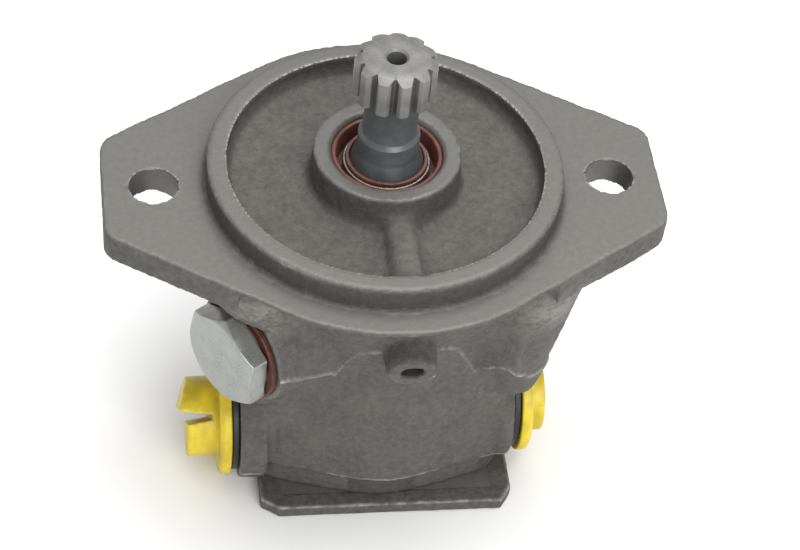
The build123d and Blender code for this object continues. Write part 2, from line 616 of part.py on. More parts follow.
def shaft_seal(top_z):
    """Rubber-covered lip seal, open side up."""
    bottom_z = top_z - SEAL_WIDTH
    case_r = SEAL_BORE_D / 2 - 0.02
    with BuildPart() as seal:
        with BuildSketch(Plane.XZ):
            with BuildLine():
                Polyline(
                    (case_r, bottom_z + 0.4),
                    (case_r - 0.4, bottom_z),
                    (LIP_R + 0.9, bottom_z),
                    (LIP_R + 0.3, bottom_z + 1.6),
                    (LIP_R, top_z - 2.6),
                    (LIP_R + 0.15, top_z - 0.9),
                    (LIP_R + 0.9, top_z - 0.9),
                    (LIP_R + 0.9, top_z - 1.6),
                    (LIP_R + 0.62, top_z - 2.2),
                    (LIP_R + 0.9, top_z - 3.0),
                    (LIP_R + 1.5, bottom_z + 1.4),
                    (case_r - 2.0, bottom_z + 1.4),
                    (case_r - 2.0, top_z - 0.3),
                    (case_r - 1.7, top_z),
                    (case_r - 0.3, top_z),
                    (case_r, top_z - 0.3),
                    close=True,
                )
            make_face()
        revolve(axis=Axis.Z)
    return seal.part


def garter_spring(top_z):
    """Round garter spring that sits in the groove behind a seal lip."""
    with BuildPart() as spring:
        with BuildSketch(Plane.XZ):
            with Locations((LIP_R + 0.67 + GARTER_D / 2, top_z - 2.25)):
                Circle(GARTER_D / 2)
        revolve(axis=Axis.Z)
    return spring.part


for seal_name, seal_top_z in (("outer", OUTER_SEAL_TOP_Z), ("inner", INNER_SEAL_TOP_Z)):
    lip_seal = shaft_seal(seal_top_z)
    lip_seal.label = f"{seal_name}_shaft_seal"
    export_step(lip_seal, f"parts/{seal_name}_shaft_seal.step")
    lip_spring = garter_spring(seal_top_z)
    lip_spring.label = f"{seal_name}_seal_spring"
    export_step(lip_spring, f"parts/{seal_name}_seal_spring.step")

# ---------------------------------------------------------------- front bearing
BEARING_MIDDLE_Z = (BEARING_TOP_Z + BEARING_BOTTOM_Z) / 2
RACE_WALL = (BEARING_OD - BEARING_BORE_D) * 0.15
BALL_GROOVE_R = BEARING_BALL_D / 2 + RUN_GAP


def bearing_race(inner_r, outer_r):
    """One race: a ring with the ball groove turned into it."""
    with BuildPart() as race:
        with BuildSketch(Plane.XZ):
            with Locations(((inner_r + outer_r) / 2, BEARING_MIDDLE_Z)):
                Rectangle(outer_r - inner_r, BEARING_WIDTH)
            with Locations((BALL_PITCH_R, BEARING_MIDDLE_Z)):
                Circle(BALL_GROOVE_R, mode=Mode.SUBTRACT)
        revolve(axis=Axis.Z)
    return race.part


inner_race = bearing_race(BEARING_BORE_D / 2, BEARING_BORE_D / 2 + RACE_WALL)
inner_race.label = "front_bearing_inner_race"
export_step(inner_race, "parts/front_bearing_inner_race.step")
outer_race = bearing_race(BEARING_OD / 2 - RACE_WALL, BEARING_OD / 2)
outer_race.label = "front_bearing_outer_race"
export_step(outer_race, "parts/front_bearing_outer_race.step")

with BuildPart() as front_bearing_balls:
    with Locations((0, 0, BEARING_MIDDLE_Z)):
        with PolarLocations(BALL_PITCH_R, BEARING_BALLS):
            Sphere(BEARING_BALL_D / 2)
front_bearing_balls.part.label = "front_bearing_balls"
export_step(front_bearing_balls.part, "parts/front_bearing_balls.step")

with BuildPart() as front_bearing_cage:
    with BuildSketch(Plane.XY.offset(BEARING_MIDDLE_Z - BEARING_WIDTH * 0.36)):
        Circle(BALL_PITCH_R + 1.0)
        Circle(BALL_PITCH_R - 1.0, mode=Mode.SUBTRACT)
    extrude(amount=BEARING_WIDTH * 0.72)
    with Locations((0, 0, BEARING_MIDDLE_Z)):
        with PolarLocations(BALL_PITCH_R, BEARING_BALLS):
            Cylinder(BALL_GROOVE_R, 4.0, rotation=(0, 90, 0), mode=Mode.SUBTRACT)
front_bearing_cage.part.label = "front_bearing_cage"
export_step(front_bearing_cage.part, "parts/front_bearing_cage.step")

with BuildPart() as bearing_clip:
    with BuildSketch(Plane.XY.offset(BEARING_BOTTOM_Z - CLIP_THICK)):
        Circle(BEARING_OD / 2 + 0.8)
        Circle(BEARING_OD / 2 - 2.4, mode=Mode.SUBTRACT)
        with Locations((BEARING_OD / 2, 0)):
            Rectangle(8.0, 7.0, mode=Mode.SUBTRACT)
    extrude(amount=CLIP_THICK)
bearing_clip.part.label = "bearing_clip"
export_step(bearing_clip.part, "parts/bearing_clip.step")

# ---------------------------------------------------------------- rear bearing
with BuildPart() as rear_bearing_cup:
    with BuildSketch(Plane.XY.offset(SHAFT_END_Z)):
        Circle(REAR_CUP_R)
        Circle(REAR_CUP_R - 1.0 + JOURNAL_GAP, mode=Mode.SUBTRACT)
    extrude(amount=REAR_BEARING_LENGTH)
rear_bearing_cup.part.label = "rear_bearing_cup"
export_step(rear_bearing_cup.part, "parts/rear_bearing_cup.step")

with BuildPart() as rear_bearing_needles:
    with BuildSketch(Plane.XY.offset(SHAFT_END_Z + 1.0)):
        with PolarLocations(NEEDLE_PITCH_R, REAR_NEEDLES):
            Circle(NEEDLE_D / 2)
    extrude(amount=REAR_BEARING_LENGTH - 2.0)
rear_bearing_needles.part.label = "rear_bearing_needles"
export_step(rear_bearing_needles.part, "parts/rear_bearing_needles.step")

# ---------------------------------------------------------------- cam plate
PAD_FACE = TILTED.offset(SLIPPER_HEIGHT + RUN_GAP)
with BuildPart() as cam_plate:
    with BuildSketch(Plane.XY.offset(CEILING_Z)):
        Circle(CAM_PLATE_D / 2)
        Circle(COLLAR_R + 1.2, mode=Mode.SUBTRACT)
    extrude(amount=-2 * CAM_PLATE_THICK)
    split(bisect_by=PAD_FACE, keep=Keep.TOP)
    with BuildSketch(Plane.XY.offset(CEILING_Z)):
        with Locations(*CAM_DOWELS):
            Circle(DOWEL_D / 2)
    extrude(amount=-1.6, mode=Mode.SUBTRACT)
cam_plate.part.label = "cam_plate"
export_step(cam_plate.part, "parts/cam_plate.step")

with BuildPart() as cam_dowels:
    with BuildSketch(Plane.XY.offset(CEILING_Z - 1.5)):
        with Locations(*CAM_DOWELS):
            Circle(DOWEL_D / 2 - JOURNAL_GAP)
    extrude(amount=4.3)
cam_dowels.part.label = "cam_dowels"
export_step(cam_dowels.part, "parts/cam_dowels.step")

# ---------------------------------------------------------------- retainer and ball guide
RETAINER_TOP = SLIPPER_HEIGHT - SLIPPER_PAD_THICK - 0.1
RETAINER_HOLE_R = SLIPPER_NECK_D / 2 + RETAINER_CLEARANCE
with BuildPart() as retainer_plate:
    with BuildSketch(TILTED.offset(RETAINER_TOP)):
        Circle(BALL_TRACK_R + RETAINER_HOLE_R + 1.8)
        with PolarLocations(BALL_TRACK_R, PISTONS):
            Circle(RETAINER_HOLE_R, mode=Mode.SUBTRACT)
    extrude(amount=-RETAINER_THICK)
    with Locations((0, 0, PIVOT_Z)):
        Sphere(GUIDE_D / 2 + 0.15, mode=Mode.SUBTRACT)
retainer_plate.part.label = "retainer_plate"
export_step(retainer_plate.part, "parts/retainer_plate.step")

with BuildPart() as ball_guide:
    with Locations((0, 0, PIVOT_Z)):
        Sphere(GUIDE_D / 2)
    split(bisect_by=Plane.XY.offset(GUIDE_TOP_Z), keep=Keep.BOTTOM)
    split(bisect_by=Plane.XY.offset(GUIDE_BOTTOM_Z), keep=Keep.TOP)
    with BuildSketch(Plane.XY.offset(GUIDE_BOTTOM_Z)):
        add(drive_spline(Plane.XY, SLIP_FIT))
    extrude(amount=GUIDE_TOP_Z - GUIDE_BOTTOM_Z, mode=Mode.SUBTRACT)
ball_guide.part.label = "ball_guide"
export_step(ball_guide.part, "parts/ball_guide.step")

# ---------------------------------------------------------------- cylinder block
PIN_D = 1.6
PIN_R = (SPRING_BORE_R + DRIVE_SPLINE_D / 2) / 2
CLIP_GROOVE_Z = BLOCK_BOTTOM_Z + 1.0
BLOCK_CLIP_THICK = 1.0
with BuildPart() as cylinder_block:
    with BuildSketch(Plane.XY.offset(BLOCK_BOTTOM_Z)):
        Circle(BLOCK_D / 2)
    extrude(amount=BLOCK_TOP_Z - BLOCK_BOTTOM_Z)
    chamfer(cylinder_block.edges().filter_by(GeomType.CIRCLE), 0.8)
    with BuildSketch(Plane.XY.offset(BORE_BOTTOM_Z)):
        with PolarLocations(PISTON_CIRCLE_R, PISTONS):
            Circle(BORE_R)
    extrude(amount=BLOCK_TOP_Z - BORE_BOTTOM_Z, mode=Mode.SUBTRACT)
    with BuildSketch(Plane.XY.offset(BLOCK_BOTTOM_Z)):
        with PolarLocations(PISTON_CIRCLE_R, PISTONS):
            SlotOverall(PISTON_D * 0.8, KIDNEY_WIDTH * 0.8, rotation=90)
    extrude(amount=BLOCK_WEB, mode=Mode.SUBTRACT)
    # Splined hub at the top, spring chamber below it with a clip groove.
    with BuildSketch(Plane.XY.offset(HUB_BOTTOM_Z)):
        add(drive_spline(Plane.XY, SLIP_FIT))
    extrude(amount=BLOCK_HUB_LENGTH, mode=Mode.SUBTRACT)
    with BuildSketch(Plane.XY.offset(BLOCK_BOTTOM_Z)):
        Circle(SPRING_BORE_R)
    extrude(amount=HUB_BOTTOM_Z - BLOCK_BOTTOM_Z, mode=Mode.SUBTRACT)
    with BuildSketch(Plane.XY.offset(CLIP_GROOVE_Z)):
        Circle(SPRING_BORE_R + 0.6)
    extrude(amount=BLOCK_CLIP_THICK, mode=Mode.SUBTRACT)
    with BuildSketch(Plane.XY.offset(HUB_BOTTOM_Z)):
        with PolarLocations(PIN_R, 3):
            Circle(PIN_D / 2 + SLIP_FIT)
    extrude(amount=BLOCK_HUB_LENGTH, mode=Mode.SUBTRACT)
cylinder_block.part.label = "cylinder_block"
export_step(cylinder_block.part, "parts/cylinder_block.step")

TOP_WASHER_Z = HUB_BOTTOM_Z - 1.4
BOTTOM_WASHER_Z = CLIP_GROOVE_Z + BLOCK_CLIP_THICK
with BuildPart() as hold_down_pins:
    with BuildSketch(Plane.XY.offset(TOP_WASHER_Z + 1.0)):
        with PolarLocations(PIN_R, 3):
            Circle(PIN_D / 2)
    extrude(amount=GUIDE_BOTTOM_Z - TOP_WASHER_Z - 1.0)
hold_down_pins.part.label = "hold_down_pins"
export_step(hold_down_pins.part, "parts/hold_down_pins.step")

SPRING_WASHERS = (("upper_spring_washer", TOP_WASHER_Z), ("lower_spring_washer", BOTTOM_WASHER_Z))
for washer_name, washer_z in SPRING_WASHERS:
    with BuildPart() as spring_washer:
        with BuildSketch(Plane.XY.offset(washer_z)):
            Circle(SPRING_BORE_R - 0.1)
            Circle(DRIVE_SPLINE_D / 2 + 0.2, mode=Mode.SUBTRACT)
        extrude(amount=1.0)
    spring_washer.part.label = washer_name
    export_step(spring_washer.part, f"parts/{washer_name}.step")

with BuildPart() as block_spring:
    # Closed-end coil between the two washers.
    coil_r = SPRING_BORE_R - SPRING_WIRE_D / 2 - 0.15
    coil_bottom = BOTTOM_WASHER_Z + 1.0 + SPRING_WIRE_D / 2
    coil_height = TOP_WASHER_Z - SPRING_WIRE_D / 2 - coil_bottom
    with BuildLine():
        coil = Helix(coil_height / SPRING_TURNS, coil_height, coil_r, center=(0, 0, coil_bottom))
    with BuildSketch(Plane(origin=coil @ 0, z_dir=coil % 0)):
        Circle(SPRING_WIRE_D / 2 - 0.02)
    sweep(path=coil, is_frenet=True)
block_spring.part.label = "block_spring"
export_step(block_spring.part, "parts/block_spring.step")

with BuildPart() as block_clip:
    with BuildSketch(Plane.XY.offset(CLIP_GROOVE_Z)):
        Circle(SPRING_BORE_R + 0.5)
        Circle(SPRING_BORE_R - 1.2, mode=Mode.SUBTRACT)
        with Locations((SPRING_BORE_R, 0)):
            Rectangle(4.0, 3.0, mode=Mode.SUBTRACT)
    extrude(amount=BLOCK_CLIP_THICK)
block_clip.part.label = "block_clip"
export_step(block_clip.part, "parts/block_clip.step")

# ---------------------------------------------------------------- pistons and slippers
SOCKET_R = PISTON_BALL_D / 2 + SOCKET_CLEARANCE


def piston(centre):
    """Ball-ended piston, its body hollow from the pressure end."""
    shoulder = centre.Z - PISTON_NECK_LENGTH
    with BuildPart() as body:
        with BuildSketch(Plane(origin=(centre.X, centre.Y, shoulder))):
            Circle(PISTON_D / 2)
        extrude(amount=-PISTON_LENGTH)
        chamfer(body.edges().filter_by(GeomType.CIRCLE), 0.5)
        with BuildSketch(Plane(origin=(centre.X, centre.Y, shoulder - PISTON_LENGTH))):
            Circle(PISTON_D / 2 - 1.9)
        extrude(amount=PISTON_LENGTH * 0.75, mode=Mode.SUBTRACT)
        with BuildSketch(Plane(origin=(centre.X, centre.Y, shoulder))):
            Circle(PISTON_NECK_D / 2)
        extrude(amount=PISTON_NECK_LENGTH)
        with Locations(centre):
            Sphere(PISTON_BALL_D / 2)
    return body.part


def slipper(centre):
    """Slipper shoe: a flanged pad with a shallow pocket, and a socket that wraps the ball."""
    base = Plane(origin=centre, x_dir=TILTED.x_dir, z_dir=TILTED.z_dir)
    with BuildPart() as shoe:
        with BuildSketch(base.offset(-SLIPPER_LIP)):
            Circle(SLIPPER_NECK_D / 2)
        extrude(amount=SLIPPER_LIP + SLIPPER_HEIGHT)
        with BuildSketch(base.offset(SLIPPER_HEIGHT - SLIPPER_PAD_THICK)):
            Circle(SLIPPER_R)
        extrude(amount=SLIPPER_PAD_THICK)
        with BuildSketch(base.offset(SLIPPER_HEIGHT)):
            Circle(SLIPPER_R * 0.62)
        extrude(amount=-0.4, mode=Mode.SUBTRACT)
        with Locations(centre):
            Sphere(SOCKET_R, mode=Mode.SUBTRACT)
        with BuildSketch(base):
            Circle(0.5)
        extrude(amount=SLIPPER_HEIGHT, mode=Mode.SUBTRACT)
    return shoe.part


for index in range(PISTONS):
    one_piston = piston(ball_centre(index))
    one_piston.label = f"piston_{index + 1}"
    export_step(one_piston, f"parts/piston_{index + 1}.step")
    one_slipper = slipper(ball_centre(index))
    one_slipper.label = f"slipper_{index + 1}"
    export_step(one_slipper, f"parts/slipper_{index + 1}.step")

# ---------------------------------------------------------------- valve plate
with BuildPart() as valve_plate:
    with BuildSketch(Plane.XY.offset(COVER_FACE_Z)):
        Circle(BLOCK_D / 2)
        Circle(REAR_CUP_R, mode=Mode.SUBTRACT)
        for side in (0, 180):
            with BuildLine(mode=Mode.PRIVATE) as kidney_line:
                CenterArc((0, 0), PISTON_CIRCLE_R, side - KIDNEY_HALF_ANGLE, 2 * KIDNEY_HALF_ANGLE)
            SlotArc(kidney_line.edge(), KIDNEY_WIDTH, mode=Mode.SUBTRACT)
        with Locations(VALVE_DOWEL):
            Circle(DOWEL_D / 2, mode=Mode.SUBTRACT)
    extrude(amount=VALVE_PLATE_THICK)
valve_plate.part.label = "valve_plate"
export_step(valve_plate.part, "parts/valve_plate.step")

with BuildPart() as valve_dowel:
    with BuildSketch(Plane.XY.offset(COVER_FACE_Z - 3.4)):
        with Locations(VALVE_DOWEL):
            Circle(DOWEL_D / 2 - JOURNAL_GAP)
    extrude(amount=3.4 + VALVE_PLATE_THICK - 0.4)
valve_dowel.part.label = "valve_dowel"
export_step(valve_dowel.part, "parts/valve_dowel.step")

# ---------------------------------------------------------------- case drain plug
with BuildPart() as drain_washer:
    with BuildSketch(DRAIN_FACE):
        Circle(WASHER_D / 2)
        Circle(DRAIN_THREAD_D / 2, mode=Mode.SUBTRACT)
    extrude(amount=WASHER_THICK)
    chamfer(drain_washer.edges().filter_by(GeomType.CIRCLE), 0.3)
drain_washer.part.label = "drain_washer"
export_step(drain_washer.part, "parts/drain_washer.step")

HEAD_SEAT = DRAIN_FACE.offset(WASHER_THICK)
HEAD_CONE = 60.0
with BuildPart() as drain_plug:
    with BuildSketch(HEAD_SEAT):
        RegularPolygon(DRAIN_HEX / 2, 6, major_radius=False, rotation=DRAIN_HEX_TURN)
    extrude(amount=DRAIN_HEAD)
    # The flat cone that rounds the six corners at the outer end.
    with BuildSketch(HEAD_SEAT):
        Circle(DRAIN_HEX / 2 - 0.2 + DRAIN_HEAD * tan(radians(HEAD_CONE)))
    extrude(amount=DRAIN_HEAD, taper=HEAD_CONE, mode=Mode.INTERSECT)
    with BuildSketch(HEAD_SEAT):
        Circle(DRAIN_THREAD_D / 2 - JOURNAL_GAP)
    extrude(amount=-(DRAIN_FACE_R - CAVITY_D / 2 + WASHER_THICK - 0.5))
drain_plug.part.label = "drain_plug"
export_step(drain_plug.part, "parts/drain_plug.step")


# ---------------------------------------------------------------- port caps
def port_cap(face, head_length, lifted):
    """Soft plastic shipping plug with a wide screwdriver slot, one half of its head lifted."""
    seat = face.offset(CAP_SEAL_THICK)
    radius = CAP_HEAD_D / 2
    beyond = 4 * radius
    slot_root_y = head_length * (1 - CAP_SLOT_SHARE)
    with BuildPart() as cap:
        with BuildSketch(seat):
            Circle(CAP_FLANGE_D / 2)
        extrude(amount=CAP_FLANGE_THICK)
        rim = cap.edges().filter_by(GeomType.CIRCLE).sort_by(Axis(seat.origin, seat.z_dir))[-1]
        chamfer(rim, 0.8)
        with BuildSketch(seat.offset(CAP_FLANGE_THICK)):
            Circle(radius)
        extrude(amount=head_length + lifted)
        # Section square to the slot: its x runs across the slot, its y out along the plug.
        slot_dir = Vector(0, cos(CAP_SLOT), sin(CAP_SLOT))
        section = Plane(
            origin=seat.offset(CAP_FLANGE_THICK).origin, x_dir=seat.z_dir.cross(slot_dir), z_dir=slot_dir
        )
        upper = 1 if section.x_dir.Z > 0 else -1
        with BuildSketch(section):
            Polygon(
                (-upper * beyond, beyond),
                (-upper * beyond, head_length),
                (-upper * CAP_SLOT_WIDTH / 2, head_length),
                (-upper * CAP_SLOT_ROOT / 2, slot_root_y),
                (upper * CAP_SLOT_ROOT / 2, slot_root_y),
                (upper * CAP_SLOT_WIDTH / 2, head_length + lifted),
                (upper * radius, head_length),
                (upper * beyond, head_length),
                (upper * beyond, beyond),
                align=None,
            )
        extrude(amount=beyond, both=True, mode=Mode.SUBTRACT)
        # Hollow thread stem.
        with BuildSketch(seat):
            Circle(PORT_THREAD_D / 2 - SLIP_FIT)
        extrude(amount=-(CAP_SEAL_THICK + PORT_THREAD_DEPTH - 0.6))
        with BuildSketch(seat):
            Circle(PORT_THREAD_D / 2 - 1.8)
        extrude(amount=-(CAP_SEAL_THICK + PORT_THREAD_DEPTH), mode=Mode.SUBTRACT)
    return cap.part


def port_seal(face):
    """Black sealing ring under a port cap."""
    with BuildPart() as ring:
        with BuildSketch(face):
            Circle(CAP_FLANGE_D / 2 - 1.2)
            Circle(PORT_THREAD_D / 2, mode=Mode.SUBTRACT)
        extrude(amount=CAP_SEAL_THICK)
        fillet(ring.edges().filter_by(GeomType.CIRCLE), 0.5)
    return ring.part


for side_name, port_plane, cap_head, cap_lift in (
    ("left", LEFT_PORT_FACE, LEFT_CAP_HEAD, CAP_LIFT),
    ("right", RIGHT_PORT_FACE, RIGHT_CAP_HEAD, 0.0),
):
    cap = port_cap(port_plane, cap_head, cap_lift)
    cap.label = f"{side_name}_port_cap"
    export_step(cap, f"parts/{side_name}_port_cap.step")
    cap_seal = port_seal(port_plane)
    cap_seal.label = f"{side_name}_port_seal"
    export_step(cap_seal, f"parts/{side_name}_port_seal.step")
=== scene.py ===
import logging
import math
from collections.abc import Mapping, Sequence
from dataclasses import dataclass, field
from enum import Enum

import bmesh
import bpy
import numpy as np
from mathutils import Matrix, Vector


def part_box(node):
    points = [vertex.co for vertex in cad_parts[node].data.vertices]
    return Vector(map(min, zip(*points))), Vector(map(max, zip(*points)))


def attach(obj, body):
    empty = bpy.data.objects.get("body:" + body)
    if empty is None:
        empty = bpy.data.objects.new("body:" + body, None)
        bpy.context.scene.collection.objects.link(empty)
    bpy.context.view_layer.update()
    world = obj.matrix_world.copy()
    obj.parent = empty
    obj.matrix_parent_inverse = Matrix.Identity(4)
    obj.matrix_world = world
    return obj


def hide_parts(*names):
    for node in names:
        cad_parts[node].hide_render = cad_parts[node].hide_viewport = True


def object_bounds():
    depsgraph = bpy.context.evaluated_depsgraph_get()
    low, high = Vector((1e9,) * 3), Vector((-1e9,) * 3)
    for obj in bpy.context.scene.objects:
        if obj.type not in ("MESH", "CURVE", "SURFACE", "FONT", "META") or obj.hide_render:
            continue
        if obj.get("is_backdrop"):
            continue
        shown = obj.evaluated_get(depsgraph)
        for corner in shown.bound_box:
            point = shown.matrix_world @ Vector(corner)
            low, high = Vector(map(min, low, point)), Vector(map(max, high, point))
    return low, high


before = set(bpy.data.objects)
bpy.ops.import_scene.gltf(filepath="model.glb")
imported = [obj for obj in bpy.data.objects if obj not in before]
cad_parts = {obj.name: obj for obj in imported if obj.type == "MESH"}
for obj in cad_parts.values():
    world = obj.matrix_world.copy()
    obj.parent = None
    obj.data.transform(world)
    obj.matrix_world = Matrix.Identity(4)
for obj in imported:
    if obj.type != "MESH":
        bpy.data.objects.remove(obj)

LOG = logging.getLogger("axial_piston_pump")
MM = 0.001
Colour = tuple[float, float, float, float]
Stations = tuple[tuple[float, float], ...]


def paint(red: int, green: int, blue: int) -> Colour:
    """Turn a colour on the 0 to 255 scale into a linear one.

    Args:
        red: Red part.
        green: Green part.
        blue: Blue part.

    Returns:
        The linear colour with full alpha.
    """
    parts = [value / 255 for value in (red, green, blue)]
    linear = [p / 12.92 if p <= 0.04045 else ((p + 0.055) / 1.055) ** 2.4 for p in parts]
    return (linear[0], linear[1], linear[2], 1.0)


# ------------------------------------------------------------------ shader graphs
class Wire:
    """A shader socket that can be used in plain arithmetic."""

    def __init__(self, graph: "Graph", socket: bpy.types.NodeSocket | None) -> None:
        """Keep the graph and the socket that the value comes from."""
        self.graph = graph
        self.socket = socket

    def _maths(self, operation: str, *terms: "Wire | float") -> "Wire":
        """Add one Math node to the graph.

        Args:
            operation: Name of the node's operation.
            terms: Values or links of its sockets, in order.

        Returns:
            The node's result.
        """
        return self.graph.node("ShaderNodeMath", {"operation": operation}, dict(enumerate(terms)))

    def __add__(self, other: "Wire | float") -> "Wire":
        """Sum of the two."""
        return self._maths("ADD", self, other)

    def __radd__(self, other: float) -> "Wire":
        """Sum with a number on the left."""
        return self._maths("ADD", other, self)

    def __sub__(self, other: "Wire | float") -> "Wire":
        """Difference of the two."""
        return self._maths("SUBTRACT", self, other)

    def __rsub__(self, other: float) -> "Wire":
        """A number less this value."""
        return self._maths("SUBTRACT", other, self)

    def __mul__(self, other: "Wire | float") -> "Wire":
        """Product of the two."""
        return self._maths("MULTIPLY", self, other)

    def __rmul__(self, other: float) -> "Wire":
        """Product with a number on the left."""
        return self._maths("MULTIPLY", other, self)

    def __pow__(self, other: "Wire | float") -> "Wire":
        """This value raised to a power."""
        return self._maths("POWER", self, other)

    def sine(self) -> "Wire":
        """Sine of this value in radians."""
        return self._maths("SINE", self)

    def most(self, other: "Wire | float") -> "Wire":
        """The larger of the two."""
        return self._maths("MAXIMUM", self, other)

    def step(self, low: float, high: float) -> "Wire":
        """Ease from 0 at the low value to 1 at the high one.

        Args:
            low: Value that gives 0.
            high: Value that gives 1.

        Returns:
            The eased value.
        """
        settings = {"interpolation_type": "SMOOTHSTEP", "clamp": True}
        values = {"Value": self, "From Min": low, "From Max": high, "To Min": 0.0, "To Max": 1.0}
        return self.graph.node("ShaderNodeMapRange", settings, values)


class Graph:
    """One material's node tree."""

    def __init__(self, name: str) -> None:
        """Start an empty node tree in a new material."""
        self.material = bpy.data.materials.new(name)
        self.material.use_nodes = True
        self.tree = self.material.node_tree
        self.tree.nodes.clear()

    def node(
        self,
        kind: str,
        settings: Mapping[str, object] | None = None,
        values: Mapping[str | int, object] | None = None,
        output: str | int = 0,
    ) -> Wire:
        """Add a node.

        Args:
            kind: The node's type.
            settings: Its own settings, which are set first.
            values: Values or links of its sockets.
            output: The output to return.

        Returns:
            That output.
        """
        made = self.tree.nodes.new(kind)
        for key, value in (settings or {}).items():
            setattr(made, key, value)
        for key, value in (values or {}).items():
            if isinstance(value, Wire):
                self.tree.links.new(value.socket, made.inputs[key])
            else:
                made.inputs[key].default_value = value
        return Wire(self, made.outputs[output] if len(made.outputs) else None)

    def place(self) -> Wire:
        """Coordinates that stay with the piece, in metres."""
        return self.node("ShaderNodeTexCoord", output="Object")

    def axis(self, name: str) -> Wire:
        """One coordinate of the piece, X, Y or Z."""
        return self.node("ShaderNodeSeparateXYZ", None, {0: self.place()}, name)

    def radius(self) -> Wire:
        """Distance from the piece's own Z axis."""
        x, y = self.axis("X"), self.axis("Y")
        return (x * x + y * y) ** 0.5

    def noise(self, size: float, detail: float = 2.0, stretch: Sequence[float] | None = None) -> Wire:
        """Add a noise pattern.

        Args:
            size: Size of its lumps, in metres.
            detail: Octaves of finer noise.
            stretch: Scale along each axis, for streaks.

        Returns:
            Values around one half.
        """
        where = self.place()
        if stretch is not None:
            values = {0: where, 1: tuple(stretch)}
            where = self.node("ShaderNodeVectorMath", {"operation": "MULTIPLY"}, values)
        values = {"Vector": where, "Scale": 1.0 / size, "Detail": detail, "Roughness": 0.55}
        return self.node("ShaderNodeTexNoise", None, values, "Fac")

    def layer(self, name: str) -> Wire:
        """A value stored on the mesh."""
        return self.node("ShaderNodeAttribute", {"attribute_name": name}, None, "Fac")

    def blend(self, share: "Wire | float", first: "Wire | Colour", second: "Wire | Colour") -> Wire:
        """Mix two colours.

        Args:
            share: 0 for the first and 1 for the second.
            first: First colour.
            second: Second colour.

        Returns:
            The mixed colour.
        """
        settings = {"data_type": "RGBA", "clamp_factor": True}
        return self.node("ShaderNodeMix", settings, {0: share, 6: first, 7: second}, 2)

    def relief(self, height: Wire, depth: float) -> Wire:
        """Turn a height into a bumped normal.

        Args:
            height: Height, from 0 to 1.
            depth: Real depth of that range, in metres.

        Returns:
            The normal.
        """
        values = {"Height": height, "Distance": depth, "Strength": 1.0}
        return self.node("ShaderNodeBump", None, values, "Normal")

    def close(self, **sockets: object) -> bpy.types.Material:
        """Join everything in a Principled shader.

        Args:
            sockets: Its inputs, with underscores for spaces.

        Returns:
            The finished material.
        """
        values = {key.replace("_", " "): value for key, value in sockets.items()}
        shader = self.node("ShaderNodeBsdfPrincipled", None, values, "BSDF")
        self.node("ShaderNodeOutputMaterial", None, {"Surface": shader})
        return self.material


# ------------------------------------------------------------------ finishes
@dataclass(frozen=True)
class Finish:
    """What a surface is made of."""

    name: str

    def draw(self, graph: Graph) -> bpy.types.Material:
        """Fill in the node tree."""
        raise NotImplementedError

    def material(self) -> bpy.types.Material:
        """Return the material, drawn the first time it is asked for."""
        known = bpy.data.materials.get(self.name)
        return known or self.draw(Graph(self.name))

    def dress(self, piece: bpy.types.Object) -> None:
        """Put this finish on a piece.

        Args:
            piece: The piece, new or carried over from the frame.
        """
        made = self.material()
        if not piece.material_slots:
            piece.data.materials.append(made)
        for place in piece.material_slots:
            place.material = made


@dataclass(frozen=True)
class Casting(Finish):
    """Sand-cast iron with machined faces, edges lightened partly by wear and partly as a painted highlight,
    and painted shade in the hollows.
    """

    cast: Colour = paint(98, 95, 91)
    cast_dark: Colour = paint(78, 75, 72)
    faced: Colour = paint(112, 111, 107)
    faced_dark: Colour = paint(100, 99, 95)
    # Light tone for sand grain, worn edges, flash and rubbing, and also for the painted highlight on edges
    # and along the rim lip.
    worn_and_highlight: Colour = paint(178, 175, 168)
    # Dark tone for grime in the sand grain, and also for the painted shade in hollows.
    grime_and_shade: Colour = paint(52, 51, 49)
    grain: float = 0.75 * MM
    depth: float = 0.28 * MM

    def draw(self, graph: Graph) -> bpy.types.Material:
        """Mix the as-cast skin and the machined faces by the layers on the mesh."""
        faced = graph.layer("faced")
        edge = graph.layer("edge")
        hollow = graph.layer("hollow")
        flash_rub_and_highlight = graph.layer("flash_rub_and_highlight")
        patches = graph.noise(9 * MM, 3)
        mottle = graph.noise(1.6 * MM, 4)
        sand = graph.noise(self.grain, 3)
        dust = graph.noise(0.3 * MM, 1)
        skin = graph.blend((patches * 0.5 + mottle * 0.9 - 0.2).step(0.2, 0.8), self.cast_dark, self.cast)
        skin = graph.blend(sand.step(0.60, 0.74) * 0.10, skin, self.worn_and_highlight)
        skin = graph.blend((1 - sand).step(0.60, 0.76) * 0.45, skin, self.grime_and_shade)
        face = graph.blend((mottle * 0.5 + dust * 0.6 - 0.05).step(0.25, 0.75), self.faced_dark, self.faced)
        base = graph.blend(faced, skin, face)
        # Painted shade: the hollow layer darkens hollows, walls, the weep bore and the band under the rim
        # towards the dark tone.
        base = graph.blend(hollow * (0.55 + patches * 0.5), base, self.grime_and_shade)
        # Edges and the flash layer are lightened: partly wear, flash and rubbing, partly a painted highlight
        # on edges and along the rim lip.
        broken = (mottle * 1.2 + patches * 0.8).step(0.75, 1.15)
        wear_and_highlight = (edge * (0.35 + broken * 0.65)).most(flash_rub_and_highlight * (0.25 + broken * 0.75))
        base = graph.blend(wear_and_highlight, base, self.worn_and_highlight)
        rough = 0.74 - faced * 0.22 - wear_and_highlight * 0.25 + (dust - 0.5) * 0.16
        metal = 0.22 + faced * 0.2 + wear_and_highlight * 0.3
        height = (sand * 0.65 + dust * 0.35) * (1 - faced * 0.82)
        normal = graph.relief(height, self.depth)
        return graph.close(
            Base_Color=base, Roughness=rough, Metallic=metal, Normal=normal, Specular_IOR_Level=0.4
        )


